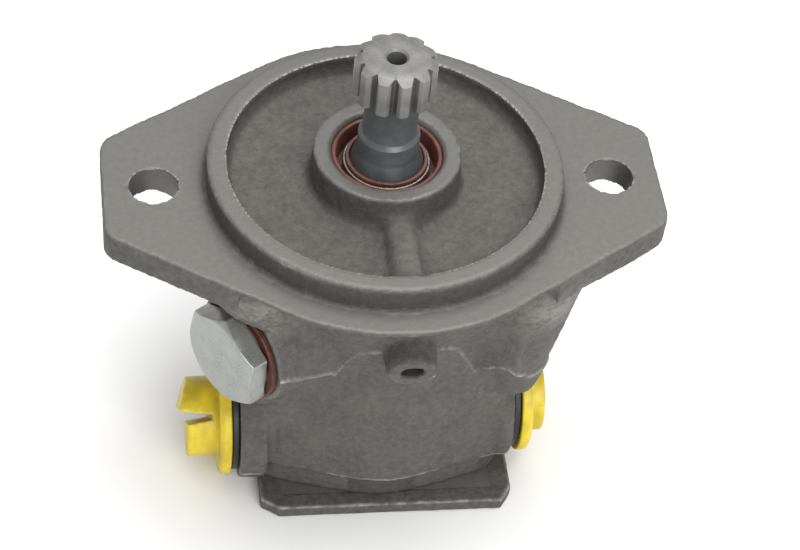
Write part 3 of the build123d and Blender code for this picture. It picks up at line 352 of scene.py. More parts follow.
@dataclass(frozen=True)
class WorkedMetal(Finish):
    """Turned, ground, pressed or plated metal."""

    light: Colour = paint(176, 176, 172)
    dark: Colour = paint(130, 131, 130)
    rough: float = 0.34
    metal: float = 0.85
    patch: float = 4 * MM
    ring_pitch: float = 0.0
    streak: Sequence[float] | None = None
    depth: float = 0.012 * MM

    def draw(self, graph: Graph) -> bpy.types.Material:
        """Two tones of metal with fine tool marks."""
        patches = graph.noise(self.patch, 3)
        fine = graph.noise(0.35 * MM, 2, self.streak)
        tone = (patches * 0.7 + fine * 0.5 - 0.1).step(0.2, 0.8)
        height = fine
        if self.ring_pitch > 0:
            rings = (graph.radius() * (2 * math.pi / self.ring_pitch) + patches * 3.0).sine()
            height = fine * 0.5 + rings * 0.25
        base = graph.blend(tone, self.dark, self.light)
        rough = self.rough + (patches - 0.5) * 0.14 + (fine - 0.5) * 0.12
        return graph.close(
            Base_Color=base, Roughness=rough, Metallic=self.metal, Normal=graph.relief(height, self.depth)
        )


@dataclass(frozen=True)
class Moulded(Finish):
    """Soft plastic or rubber."""

    light: Colour = paint(214, 192, 34)
    dark: Colour = paint(188, 164, 26)
    rough: float = 0.42
    inner: float = 0.0
    glow: tuple[float, float, float] = (1.0, 0.8, 0.1)
    dust: Colour = paint(120, 112, 60)
    dusty: float = 0.25
    depth: float = 0.03 * MM

    def draw(self, graph: Graph) -> bpy.types.Material:
        """Even body colour with faint flow marks, handling dust and a fine skin texture."""
        flow = graph.noise(5 * MM, 2, (1.0, 1.0, 0.5))
        skin = graph.noise(0.5 * MM, 3)
        smear = graph.noise(2.2 * MM, 4)
        base = graph.blend(flow.step(0.3, 0.7), self.dark, self.light)
        base = graph.blend(smear.step(0.52, 0.78) * self.dusty, base, self.dust)
        rough = self.rough + (smear - 0.5) * 0.22 + (skin - 0.5) * 0.10
        normal = graph.relief(skin * 0.6 + flow * 0.4, self.depth)
        return graph.close(
            Base_Color=base,
            Roughness=rough,
            Normal=normal,
            Subsurface_Weight=self.inner,
            Subsurface_Radius=tuple(part * 2 * MM for part in self.glow),
            Subsurface_Scale=1.0,
        )


@dataclass(frozen=True)
class StudioPaper(Finish):
    """Matt white sweep that the pump stands on."""

    light: Colour = (0.86, 0.86, 0.86, 1.0)
    dark: Colour = (0.83, 0.83, 0.83, 1.0)

    def draw(self, graph: Graph) -> bpy.types.Material:
        """Nearly even white with a trace of fibre."""
        fibre = graph.noise(30 * MM, 3)
        base = graph.blend(fibre.step(0.3, 0.7), self.dark, self.light)
        return graph.close(Base_Color=base, Roughness=0.8 + (fibre - 0.5) * 0.1, Specular_IOR_Level=0.2)


IRON_CASE = Casting("cast iron case")
IRON_COVER = Casting("cast iron cover", cast=paint(98, 96, 92), cast_dark=paint(72, 71, 68))
ALONG = (1.0, 1.0, 3.0)
SPLINE_STEEL = WorkedMetal(
    "ground shaft steel", paint(134, 133, 129), paint(108, 108, 106),
    rough=0.46, metal=0.5, patch=3 * MM, streak=ALONG,
)
# Darker copy of the shaft steel, used as painted shade in the valleys between spline teeth.
SPLINE_ROOT_SHADE = WorkedMetal(
    "spline root painted shade", paint(92, 91, 88), paint(66, 66, 64),
    rough=0.5, metal=0.5, patch=3 * MM, streak=ALONG,
)
NECK_STEEL = WorkedMetal(
    "phosphated shaft neck", paint(104, 108, 109), paint(84, 88, 90),
    rough=0.42, metal=0.6, patch=3 * MM, streak=(0.4, 0.4, 4.0),
)
SEAL_RUBBER = Moulded(
    "seal rubber", paint(112, 68, 60), paint(84, 48, 42),
    rough=0.34, glow=(1.0, 0.2, 0.1), dust=paint(136, 100, 92), dusty=0.3,
)
SPRING_WIRE = WorkedMetal(
    "spring wire", paint(150, 146, 138), paint(104, 100, 94), rough=0.38, metal=0.9, patch=1.5 * MM
)
BEARING_STEEL = WorkedMetal(
    "bearing steel", paint(206, 207, 208), paint(172, 174, 176),
    rough=0.16, metal=1.0, patch=6 * MM, ring_pitch=0.3 * MM,
)
CAGE_BRASS = WorkedMetal("cage brass", paint(196, 158, 84), paint(150, 116, 56), rough=0.32, metal=0.95)
HARD_STEEL = WorkedMetal(
    "hardened steel", paint(168, 168, 166), paint(120, 121, 122),
    rough=0.26, metal=0.95, patch=5 * MM, ring_pitch=0.4 * MM,
)
SHOE_BRONZE = WorkedMetal("slipper bronze", paint(186, 140, 86), paint(140, 98, 56), rough=0.30, metal=0.95)
ZINC = WorkedMetal(
    "zinc plating", paint(162, 164, 160), paint(142, 144, 141),
    rough=0.30, metal=0.6, patch=5 * MM, ring_pitch=0.55 * MM, depth=0.006 * MM,
)
COPPER = WorkedMetal(
    "crushed copper washer", paint(112, 66, 54), paint(58, 36, 30), rough=0.45, metal=0.6, patch=2.5 * MM
)
CAP_YELLOW = Moulded("soft yellow plastic", inner=0.12)
BLACK_RUBBER = Moulded(
    "black rubber", paint(34, 33, 31), paint(22, 22, 21),
    rough=0.5, glow=(0.1, 0.1, 0.1), dust=paint(62, 58, 52), dusty=0.5,
)
PAPER = StudioPaper("studio paper")


# ------------------------------------------------------------------ mesh tools
def named_piece(name: str, mesh: bpy.types.Mesh, where: Matrix | None = None) -> bpy.types.Object:
    """Link a mesh into the scene as a piece.

    Args:
        name: Name of the piece.
        mesh: Its mesh.
        where: Its place, or None for the row frame.

    Returns:
        The new object.
    """
    mesh.name = name
    piece = bpy.data.objects.new(name, mesh)
    bpy.context.scene.collection.objects.link(piece)
    if where is not None:
        piece.matrix_world = where
    return piece


def ring(radius: "np.ndarray | float", height: "np.ndarray | float", count: int) -> np.ndarray:
    """Points of one ring about the Z axis.

    Args:
        radius: Radius, the same all round or one value per point.
        height: Height, the same all round or one value per point.
        count: Number of points.

    Returns:
        The points, one row each.
    """
    angle = np.arange(count) * (2 * math.pi / count)
    spread = np.broadcast_to(np.asarray(radius, float), (count,))
    level = np.broadcast_to(np.asarray(height, float), (count,))
    return np.stack([spread * np.cos(angle), spread * np.sin(angle), level], axis=1)


def ringed_mesh(rings: Sequence[np.ndarray], joined: bool = False, crease: float = 32.0) -> bpy.types.Mesh:
    """Skin over a stack of rings that all have the same number of points.

    Args:
        rings: The rings in order.
        joined: True if the last ring joins the first; otherwise both ends are closed by a fan.
        crease: Edges sharper than this many degrees stay sharp in shading.

    Returns:
        The closed mesh.
    """
    count = len(rings[0])
    points = [p for one in rings for p in one]
    pairs = len(rings) if joined else len(rings) - 1
    faces: list[tuple[int, ...]] = []
    for level in range(pairs):
        low, high = level * count, ((level + 1) % len(rings)) * count
        for i in range(count):
            j = (i + 1) % count
            faces.append((low + i, low + j, high + j, high + i))
    if not joined:
        for start, turn in ((0, True), ((len(rings) - 1) * count, False)):
            middle = len(points)
            points.append(np.mean(points[start : start + count], axis=0))
            for i in range(count):
                j = (i + 1) % count
                faces.append((middle, start + j, start + i) if turn else (middle, start + i, start + j))
    mesh = bpy.data.meshes.new("skin")
    mesh.from_pydata([tuple(p) for p in points], [], faces)
    work = bmesh.new()
    work.from_mesh(mesh)
    bmesh.ops.remove_doubles(work, verts=work.verts, dist=0.002 * MM)
    bmesh.ops.dissolve_degenerate(work, edges=work.edges, dist=0.001 * MM)
    bmesh.ops.recalc_face_normals(work, faces=work.faces)
    work.to_mesh(mesh)
    work.free()
    shade(mesh, crease)
    return mesh


def shade(mesh: bpy.types.Mesh, crease: float) -> None:
    """Shade a mesh smooth, but keep edges above the crease angle, in degrees, sharp."""
    mesh.polygons.foreach_set("use_smooth", [True] * len(mesh.polygons))
    mesh.set_sharp_from_angle(angle=math.radians(crease))


def rounded(outline: Sequence[Sequence[float]], radius: float, steps: int = 4) -> list[tuple[float, float]]:
    """Round the corners of a closed outline.

    Args:
        outline: Its corners in order.
        radius: Radius at each corner, less where the sides are short.
        steps: Points on each rounded corner, less one.

    Returns:
        The rounded outline.
    """
    corners = [Vector(p) for p in outline]
    points: list[tuple[float, float]] = []
    for i, corner in enumerate(corners):
        back, ahead = corners[i - 1] - corner, corners[(i + 1) % len(corners)] - corner
        reach = min(radius, back.length * 0.45, ahead.length * 0.45)
        start, end = corner + back.normalized() * reach, corner + ahead.normalized() * reach
        for k in range(steps + 1):
            t = k / steps
            p = start * (1 - t) ** 2 + corner * 2 * t * (1 - t) + end * t * t
            points.append((p.x, p.y))
    return points


def turned(outline: Sequence[Sequence[float]], count: int = 128, crease: float = 32.0) -> bpy.types.Mesh:
    """Turn a closed outline of radius and height, in metres, about the Z axis."""
    return ringed_mesh([ring(r, z, count) for r, z in outline], True, crease)


def ripples(points: np.ndarray, size: float, seed: int, waves: int = 14) -> np.ndarray:
    """Smooth lumps, as a sum of waves that run in many directions.

    Args:
        points: Places, one row each.
        size: Typical size of a lump.
        seed: Seed of the directions, so that each run gives the same lumps.
        waves: Number of waves.

    Returns:
        One value per point, about -1 to 1.
    """
    picker = np.random.default_rng(seed)
    total = np.zeros(len(points))
    for _ in range(waves):
        way = picker.normal(size=3)
        way /= np.linalg.norm(way) * size * picker.uniform(0.7, 1.4) / math.pi
        total += np.sin(points @ way + picker.uniform(0, 2 * math.pi))
    return total / math.sqrt(waves)


def eased(value: np.ndarray, low: float, high: float) -> np.ndarray:
    """Smooth step from 0 at the low value to 1 at the high one."""
    t = np.clip((value - low) / (high - low), 0, 1)
    return t * t * (3 - 2 * t)


class Skin:
    """A dense copy of a solid, held as arrays while its surface is worked."""

    def __init__(self, sources: Sequence[bpy.types.Mesh], voxel: float) -> None:
        """Skin over the solids with even faces.

        Args:
            sources: Closed meshes, which are joined.
            voxel: Size of the faces.
        """
        work = bmesh.new()
        for source in sources:
            work.from_mesh(source)
        joined = bpy.data.meshes.new("joined")
        work.to_mesh(joined)
        work.free()
        joined.materials.clear()
        carrier = named_piece("carrier", joined)
        step = carrier.modifiers.new("skin", "REMESH")
        step.mode = "VOXEL"
        step.voxel_size = voxel
        graph = bpy.context.evaluated_depsgraph_get()
        self.mesh = bpy.data.meshes.new_from_object(carrier.evaluated_get(graph))
        bpy.data.objects.remove(carrier)
        bpy.data.meshes.remove(joined)
        self.voxel = voxel
        self.points = np.empty(len(self.mesh.vertices) * 3)
        self.mesh.vertices.foreach_get("co", self.points)
        self.points = self.points.reshape(-1, 3)
        pairs = np.empty(len(self.mesh.edges) * 2, np.int64)
        self.mesh.edges.foreach_get("vertices", pairs)
        self.first, self.second = pairs.reshape(-1, 2).T
        size = len(self.points)
        self.degree = np.bincount(self.first, minlength=size) + np.bincount(self.second, minlength=size)
        self.layers: dict[str, np.ndarray] = {}

    def around(self, values: np.ndarray) -> np.ndarray:
        """Average the neighbours of each point.

        Args:
            values: One value per point, or several columns of them.

        Returns:
            The averages, in the same shape.
        """
        if values.ndim == 2:
            return np.stack([self.around(values[:, k]) for k in range(values.shape[1])], axis=1)
        size = len(values)
        total = np.bincount(self.first, values[self.second], size)
        total += np.bincount(self.second, values[self.first], size)
        return total / np.maximum(self.degree, 1)

    def spread(self, values: np.ndarray, rounds: int) -> np.ndarray:
        """Blur values over the surface.

        Args:
            values: One value per point.
            rounds: How many times.

        Returns:
            The blurred values.
        """
        for _ in range(rounds):
            values = values * 0.5 + self.around(values) * 0.5
        return values

    def soften(self, rounds: int, share: np.ndarray) -> None:
        """Smooth the surface itself.

        Args:
            rounds: How many times.
            share: How far each point may follow, 0 to 1.
        """
        for _ in range(rounds):
            self.points += (self.around(self.points) - self.points) * (0.6 * share)[:, None]

    def normals(self) -> np.ndarray:
        """Outward directions at the points as they are now."""
        self.mesh.vertices.foreach_set("co", self.points.ravel())
        self.mesh.update()
        found = np.empty(len(self.points) * 3, np.float32)
        self.mesh.vertex_normals.foreach_get("vector", found)
        return found.reshape(-1, 3).astype(float)

    def push(self, reach: np.ndarray) -> None:
        """Move each point outward by its own distance."""
        self.points += self.normals() * reach[:, None]

    def keep_inside(self, box: tuple[Vector, Vector]) -> None:
        """Pull the points back into the solid's own box."""
        self.points = np.clip(self.points, np.array(box[0]), np.array(box[1]))

    def bend(self) -> np.ndarray:
        """How hollow, above 0, or how sharp, below 0, the surface is at each point."""
        lean = self.around(self.points) - self.points
        return np.einsum("ij,ij->i", lean, self.normals()) / self.voxel

    def finish(self, name: str, keep: float = 1.0, crease: float = 40.0) -> bpy.types.Object:
        """Store the layers and make the piece.

        Args:
            name: Name of the piece.
            keep: Share of the faces to keep.
            crease: Edges sharper than this many degrees stay sharp in shading.

        Returns:
            The piece.
        """
        self.mesh.vertices.foreach_set("co", self.points.ravel())
        for layer, values in self.layers.items():
            made = self.mesh.attributes.new(layer, "FLOAT", "POINT")
            made.data.foreach_set("value", np.clip(values, 0, 1).astype(np.float32))
        self.mesh.update()
        piece = named_piece(name, self.mesh)
        if keep < 1:
            thin = piece.modifiers.new("thin", "DECIMATE")
            thin.ratio = keep
            graph = bpy.context.evaluated_depsgraph_get()
            light = bpy.data.meshes.new_from_object(piece.evaluated_get(graph))
            piece.modifiers.clear()
            heavy, piece.data = piece.data, light
            bpy.data.meshes.remove(heavy)
        shade(piece.data, crease)
        LOG.info("%s: %d faces", name, len(piece.data.polygons))
        return piece


# ------------------------------------------------------------------ pump
class Side(Enum):
    """The two port sides of the pump, with the sign of their X."""

    LEFT = -1
    RIGHT = 1


@dataclass
class SubAssembly:
    """A group of pieces that are made and dressed together."""

    body: str = "pump_case"

    def settle(self, piece: bpy.types.Object, finish: Finish, slot: str, *nodes: str) -> None:
        """Dress a new piece, put it on its body and let it stand for its solids.

        Args:
            piece: The new piece.
            finish: Its finish.
            slot: The record's material slot; it is not used.
            nodes: The solids that it stands for.
        """
        finish.dress(piece)
        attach(piece, self.body)
        if nodes:
            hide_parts(*nodes)
        LOG.info("%s made for %s", piece.name, ", ".join(nodes) or "its body")

    def carry(self, node: str, finish: Finish) -> None:
        """Keep a solid as it is and give it its finish."""
        finish.dress(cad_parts[node])
        LOG.info("%s carried over with %s", node, finish.name)


@dataclass
class PortPlace:
    """Where one port is and how large its machined seat is."""

    side: Side
    y: float
    z: float
    face_x: float
    seat_r: float = 15.5 * MM
    bore_r: float = 10.2 * MM


@dataclass
class Housing(SubAssembly):
    """The cast case with its flange, pilot ring, recess and bosses."""

    voxel: float = 0.55 * MM
    near: float = 0.22 * MM
    pilot_r: float = 41.275 * MM
    pilot_top: float = 6.35 * MM
    recess_r: float = 36.675 * MM
    recess_wall_foot: float = 3.4 * MM
    seat_top: float = 9.9 * MM
    seat_r: float = 17.6 * MM
    seal_bore_r: float = 13.3 * MM
    bearing_bore_r: float = 18.6 * MM
    bearing_top: float = -7.9 * MM
    cavity_r: float = 24.9 * MM
    ceiling: float = -22.2 * MM
    bolt_x: float = 53.2 * MM
    bolt_r: float = 5.9 * MM
    hole_r: float = 5.7 * MM
    ear_foot: float = -7.2 * MM
    rib_x: float = 1.5 * MM
    drain_turn: float = 214.4
    drain_z: float = -30.2 * MM
    drain_face: float = 40.5 * MM
    drain_r: float = 14.3 * MM
    drain_bore_r: float = 9.2 * MM
    weep: Vector = field(default_factory=lambda: Vector((4.0, -39.5, -23.0)) * MM)
    weep_tilt: float = 17.0
    weep_r: float = 5.9 * MM
    weep_bore_r: float = 2.9 * MM
    rim_z: float = -74.5 * MM
    # Width of the light band along the rim lip, partly wear and partly a painted highlight.
    rim_highlight_width: float = 0.45 * MM
    fill_rounds: int = 40
    corner_rounds: int = 150
    rib_rounds: int = 26
    rub_r: float = 7 * MM
    rubbed: tuple[tuple[float, float, float], ...] = (
        (37 * MM, -27 * MM, -13 * MM), (-31 * MM, -31 * MM, -13 * MM)
    )
    parting_z: float = -36.0 * MM
    humps: tuple[tuple[float, float], ...] = (
        (-24.0, -30.0), (-16.8, -34.1), (-11.6, -37.5), (-7.3, -25.1), (-2.5, -23.1), (11.6, -25.0),
        (15.9, -26.7), (21.9, -39.6), (26.3, -33.4), (29.0, -33.1), (35.0, -41.6),
    )
    ports: tuple[PortPlace, ...] = (
        PortPlace(Side.LEFT, -11.0 * MM, -68.1 * MM, -32.6 * MM),
        PortPlace(Side.RIGHT, -8.0 * MM, -66.4 * MM, 34.6 * MM),
    )

    def build(self) -> None:
        """Make the casting and put it on the case."""
        low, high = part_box("housing")
        skin = Skin([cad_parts["housing"].data], self.voxel)
        held, faced = self.worked_faces(skin.points, low.z)
        held *= skin.around(held) > 0.99
        soft = 1.0 - held
        skin.soften(4, soft)
        self.fill_hollows(skin, soft)
        self.part_line(skin, soft)
        self.sand_lumps(skin, soft)
        self.true_rounds(skin.points)
        skin.keep_inside((low, high))
        self.colour_layers(skin, faced)
        self.settle(skin.finish("housing_casting"), IRON_CASE, "cast_iron_body", "housing")

    def from_drain(self, points: np.ndarray) -> tuple[np.ndarray, np.ndarray]:
        """Place points about the drain boss.

        Args:
            points: Points of the casting.

        Returns:
            Their distance out from the shaft along the boss, and from the boss's middle line.
        """
        x, y, z = points.T
        turn = math.radians(self.drain_turn)
        out = x * math.cos(turn) + y * math.sin(turn)
        return out, np.hypot(-x * math.sin(turn) + y * math.cos(turn), z - self.drain_z)

    def from_weep(self, points: np.ndarray) -> tuple[np.ndarray, np.ndarray]:
        """Place points about the weep boss.

        Args:
            points: Points of the casting.

        Returns:
            Their distance out from its face, and from its middle line.
        """
        tilt = math.radians(self.weep_tilt)
        gap = points - np.array(self.weep)
        along = gap @ np.array([0, -math.cos(tilt), -math.sin(tilt)])
        return along, np.sqrt(np.maximum((gap**2).sum(axis=1) - along**2, 0))

    def worked_faces(self, points: np.ndarray, foot: float) -> tuple[np.ndarray, np.ndarray]:
        """Find the faces that a tool has cut.

        Args:
            points: Points of the casting.
            foot: Height of its lower face.

        Returns:
            1 on points that must not move, and 1 on points with a machined look.
        """
        x, y, z = points.T
        r = np.hypot(x, y)
        near = self.near
        faced = (np.abs(z) < near) & (r > self.pilot_r - near)
        faced |= (z > self.pilot_top - near) & (r > self.recess_r - near) & (r < self.pilot_r + near)
        faced |= (z > self.seat_top - near) & (r < self.seat_r)
        faced |= z < foot + near
        walls = (np.abs(r - self.pilot_r) < near) & (z > 0)
        walls |= (np.abs(r - self.recess_r) < near) & (z > self.recess_wall_foot)
        bores = (r < self.seal_bore_r) | ((r < self.bearing_bore_r) & (z < self.bearing_top))
        bores |= (r < self.cavity_r) & (z < self.ceiling)
        bores |= np.hypot(np.abs(x) - self.bolt_x, y) < self.bolt_r
        for port in self.ports:
            off = np.hypot(y - port.y, z - port.z)
            faced |= (np.abs(x - port.face_x) < near) & (off < port.seat_r)
            bores |= (x * port.side.value > 0) & (off < port.bore_r)
        out, off = self.from_drain(points)
        faced |= (np.abs(out - self.drain_face) < near) & (off < self.drain_r)
        bores |= (out > 0) & (off < self.drain_bore_r)
        along, off = self.from_weep(points)
        bores |= (off < self.weep_bore_r) & (along > -8 * MM)
        rim = (np.abs(along) < near) & (off < self.weep_r)
        held = faced | walls | bores | rim
        return held.astype(float), (faced | bores).astype(float)

    def fill_hollows(self, skin: Skin, soft: np.ndarray) -> None:
        """Give the casting its large soft fillets, and round the rib in the recess.

        Args:
            skin: The casting.
            soft: 1 where the sand skin may move.
        """
        hollow = skin.spread(skin.bend() * soft, 6)
        share = skin.spread(eased(hollow, 0.01, 0.05), 3) * soft
        x, y, z = skin.points.T
        out, off = self.from_drain(skin.points)
        share *= np.where((out > self.drain_face - MM) & (off < self.drain_r + 4 * MM), 0.0, 1.0)
        share *= eased(self.from_weep(skin.points)[1], 6.5 * MM, 11 * MM) * 0.97 + 0.03
        share *= eased(z, self.rim_z, self.rim_z + 3 * MM)
        skin.soften(self.fill_rounds, share)
        low_corner = (np.abs(x) > 23 * MM) & (z < -48 * MM) & (np.abs(y) < 29 * MM)
        skin.soften(self.corner_rounds, skin.spread(low_corner.astype(float), 4) * share)
        x, y, z = skin.points.T
        rib = (np.abs(x - self.rib_x) < 8 * MM) & (y < -15 * MM) & (y > -37 * MM)
        rib &= (z > 0.2 * MM) & (z < 9.5 * MM)
        skin.soften(self.rib_rounds, skin.spread(rib * soft, 2) * soft)

    def true_rounds(self, points: np.ndarray) -> None:
        """Put the turned and drilled walls back on their exact radius.

        Args:
            points: Points of the casting, which are moved in place.
        """
        holes = [(x, self.hole_r, self.ear_foot, 0.1 * MM) for x in (self.bolt_x, -self.bolt_x)]
        turned_walls = [(0.0, self.pilot_r, 0.4 * MM, 5.7 * MM), (0.0, self.recess_r, 3.8 * MM, 6.2 * MM)]
        for middle, radius, low, high in turned_walls + holes:
            across = points[:, 0] - middle
            r = np.hypot(across, points[:, 1])
            near = (np.abs(r - radius) < 0.32 * MM) & (points[:, 2] > low) & (points[:, 2] < high)
            scale = radius / r[near]
            points[near, 0] = middle + across[near] * scale
            points[near, 1] *= scale

    def part_height(self, x: np.ndarray, front: np.ndarray) -> np.ndarray:
        """Height of the mould's parting line, with a hump each side of the weep boss.

        Args:
            x: Places across the case.
            front: True on the front half.

        Returns:
            The height at each place.
        """
        across, height = zip(*self.humps)
        line = np.interp(x, np.array(across) * MM, np.array(height) * MM)
        return np.where(front, line, self.parting_z)

    def part_line(self, skin: Skin, soft: np.ndarray) -> None:
        """Raise the ragged line where the two halves of the mould met.

        Args:
            skin: The casting.
            soft: 1 where the sand skin may move.
        """
        x, y, z = skin.points.T
        outer = soft * (np.hypot(x, y) > 20 * MM) * eased(-z, 10 * MM, 14 * MM)
        gap = (z - self.part_height(x, y < 0)) / MM
        ragged = 0.65 + 0.35 * ripples(skin.points, 4 * MM, 5)
        ridge = np.exp(-((gap / 0.5) ** 2)) * ragged
        ledge = eased(-gap, -0.3, 0.3) * eased(gap, -9.0, -1.0)
        skin.push((ridge * 0.45 + ledge * 0.28) * MM * outer)
        skin.layers["flash_rub_and_highlight"] = np.clip(ridge, 0, 1) * outer * 0.6

    def sand_lumps(self, skin: Skin, soft: np.ndarray) -> None:
        """Press the unevenness of a sand mould into the cast skin.

        Args:
            skin: The casting.
            soft: 1 where the sand skin may move.
        """
        rise = ripples(skin.points, 9 * MM, 2) * 0.09 + ripples(skin.points, 3 * MM, 3) * 0.05
        rise += ripples(skin.points, 1.4 * MM, 4) * 0.055
        skin.push(skin.spread(soft, 3) * soft * rise * MM)

    def colour_layers(self, skin: Skin, faced: np.ndarray) -> None:
        """Store where the casting is machined, worn or rubbed, where edges and the rim lip are lightened
        partly as wear and partly as a painted highlight, and where shade is painted into hollows, walls, the
        weep bore and under the rim.

        Args:
            skin: The casting.
            faced: 1 on points with a machined look.
        """
        bend = skin.bend()
        x, y, z = skin.points.T
        r = np.hypot(x, y)
        # Painted shade on the pilot and recess walls and on the seal boss wall.
        wall_shade = eased(z, 0.3 * MM, 1.2 * MM) * eased(-z, -5.9 * MM, -5.0 * MM)
        wall_shade *= (np.abs(r - self.pilot_r) < 0.5 * MM) | (np.abs(r - self.recess_r) < 1.2 * MM)
        wall_shade = np.maximum(wall_shade, (z > 1.6 * MM) & (z < 9.2 * MM) & (r > 14 * MM) & (r < 19.5 * MM))
        outside = (z < -60 * MM) & ((np.abs(y) > 26 * MM) | (np.abs(x) > 27 * MM))
        # Painted shadow on the band under the rim.
        rim_shadow = outside * eased(-z, -self.rim_z + 0.3 * MM, -self.rim_z + 1.2 * MM) * 0.5
        off = self.from_weep(skin.points)[1]
        # Painted shade in the weep bore.
        bore_shade = (off < 3.1 * MM) * (np.abs(y) > 20 * MM) * 1.0
        # Painted shade in concave hollows, taken from the surface bend and joined with the wall shade;
        # weaker near the weep boss.
        dark = np.maximum(eased(skin.spread(bend, 10), 0.015, 0.11) * 0.85, skin.spread(wall_shade * 0.55, 2))
        dark *= eased(off, 5 * MM, 9 * MM) * 0.7 + 0.3
        rub = np.zeros(len(x))
        for at in self.rubbed:
            rub += np.exp(-(((skin.points - np.array(at)) ** 2).sum(axis=1)) / self.rub_r**2)
        # Thin light band along the rim lip: partly wear, partly a painted highlight.
        rim = np.exp(-(((z - self.rim_z - 0.3 * MM) / self.rim_highlight_width) ** 2)) * outside
        skin.layers["faced"] = skin.spread(faced, 1)
        # Convex edges lightened: partly wear, partly a painted highlight.
        skin.layers["edge"] = eased(-skin.spread(bend, 1), 0.10, 0.32)
        skin.layers["flash_rub_and_highlight"] = np.maximum(np.maximum(skin.layers["flash_rub_and_highlight"], rub * 0.42), rim)
        # The hollow layer holds only painted shade.
        skin.layers["hollow"] = np.maximum(np.maximum(dark, rim_shadow), bore_shade)


@dataclass
class RearCover(SubAssembly):
    """The foot plate with its screws, dowels and seal ring."""

    voxel: float = 0.45 * MM
    keep: float = 0.45
    plate_thick: float = 3.5 * MM
    spigot_reach: float = 26 * MM

    def build(self) -> None:
        """Make the cover and dress what belongs to it."""
        low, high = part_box("rear_cover")
        skin = Skin([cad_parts["rear_cover"].data], self.voxel)
        x, y, z = skin.points.T
        plate_top = low.z + self.plate_thick
        outside = np.maximum(np.abs(x - (low.x + high.x) / 2), np.abs(y)) > self.spigot_reach
        outside &= z < plate_top + 0.2 * MM
        soft = outside.astype(float) * (z > low.z + 0.15 * MM)
        skin.soften(2, soft)
        rise = ripples(skin.points, 5 * MM, 7) * 0.05 + ripples(skin.points, 1.5 * MM, 8) * 0.04
        skin.push(soft * rise * MM)
        skin.keep_inside((low, high))
        bend = skin.bend()
        top_edge = eased(z, plate_top - 0.9 * MM, plate_top)
        skin.layers["faced"] = np.where(outside, 0.0, 1.0)
        # Top edges lightened: partly wear, partly a painted highlight.
        skin.layers["edge"] = eased(-skin.spread(bend, 1), 0.04, 0.2) * np.clip(top_edge + 0.3, 0, 1)
        # Painted shade in concave hollows.
        skin.layers["hollow"] = eased(skin.spread(bend, 6), 0.02, 0.12)
        skin.layers["flash_rub_and_highlight"] = np.zeros(len(x))
        self.settle(skin.finish("foot_cover", self.keep), IRON_COVER, "cast_iron_cover", "rear_cover")
        self.carry("cover_screws", ZINC)
        self.carry("cover_dowels", HARD_STEEL)
        self.carry("cover_seal_ring", BLACK_RUBBER)


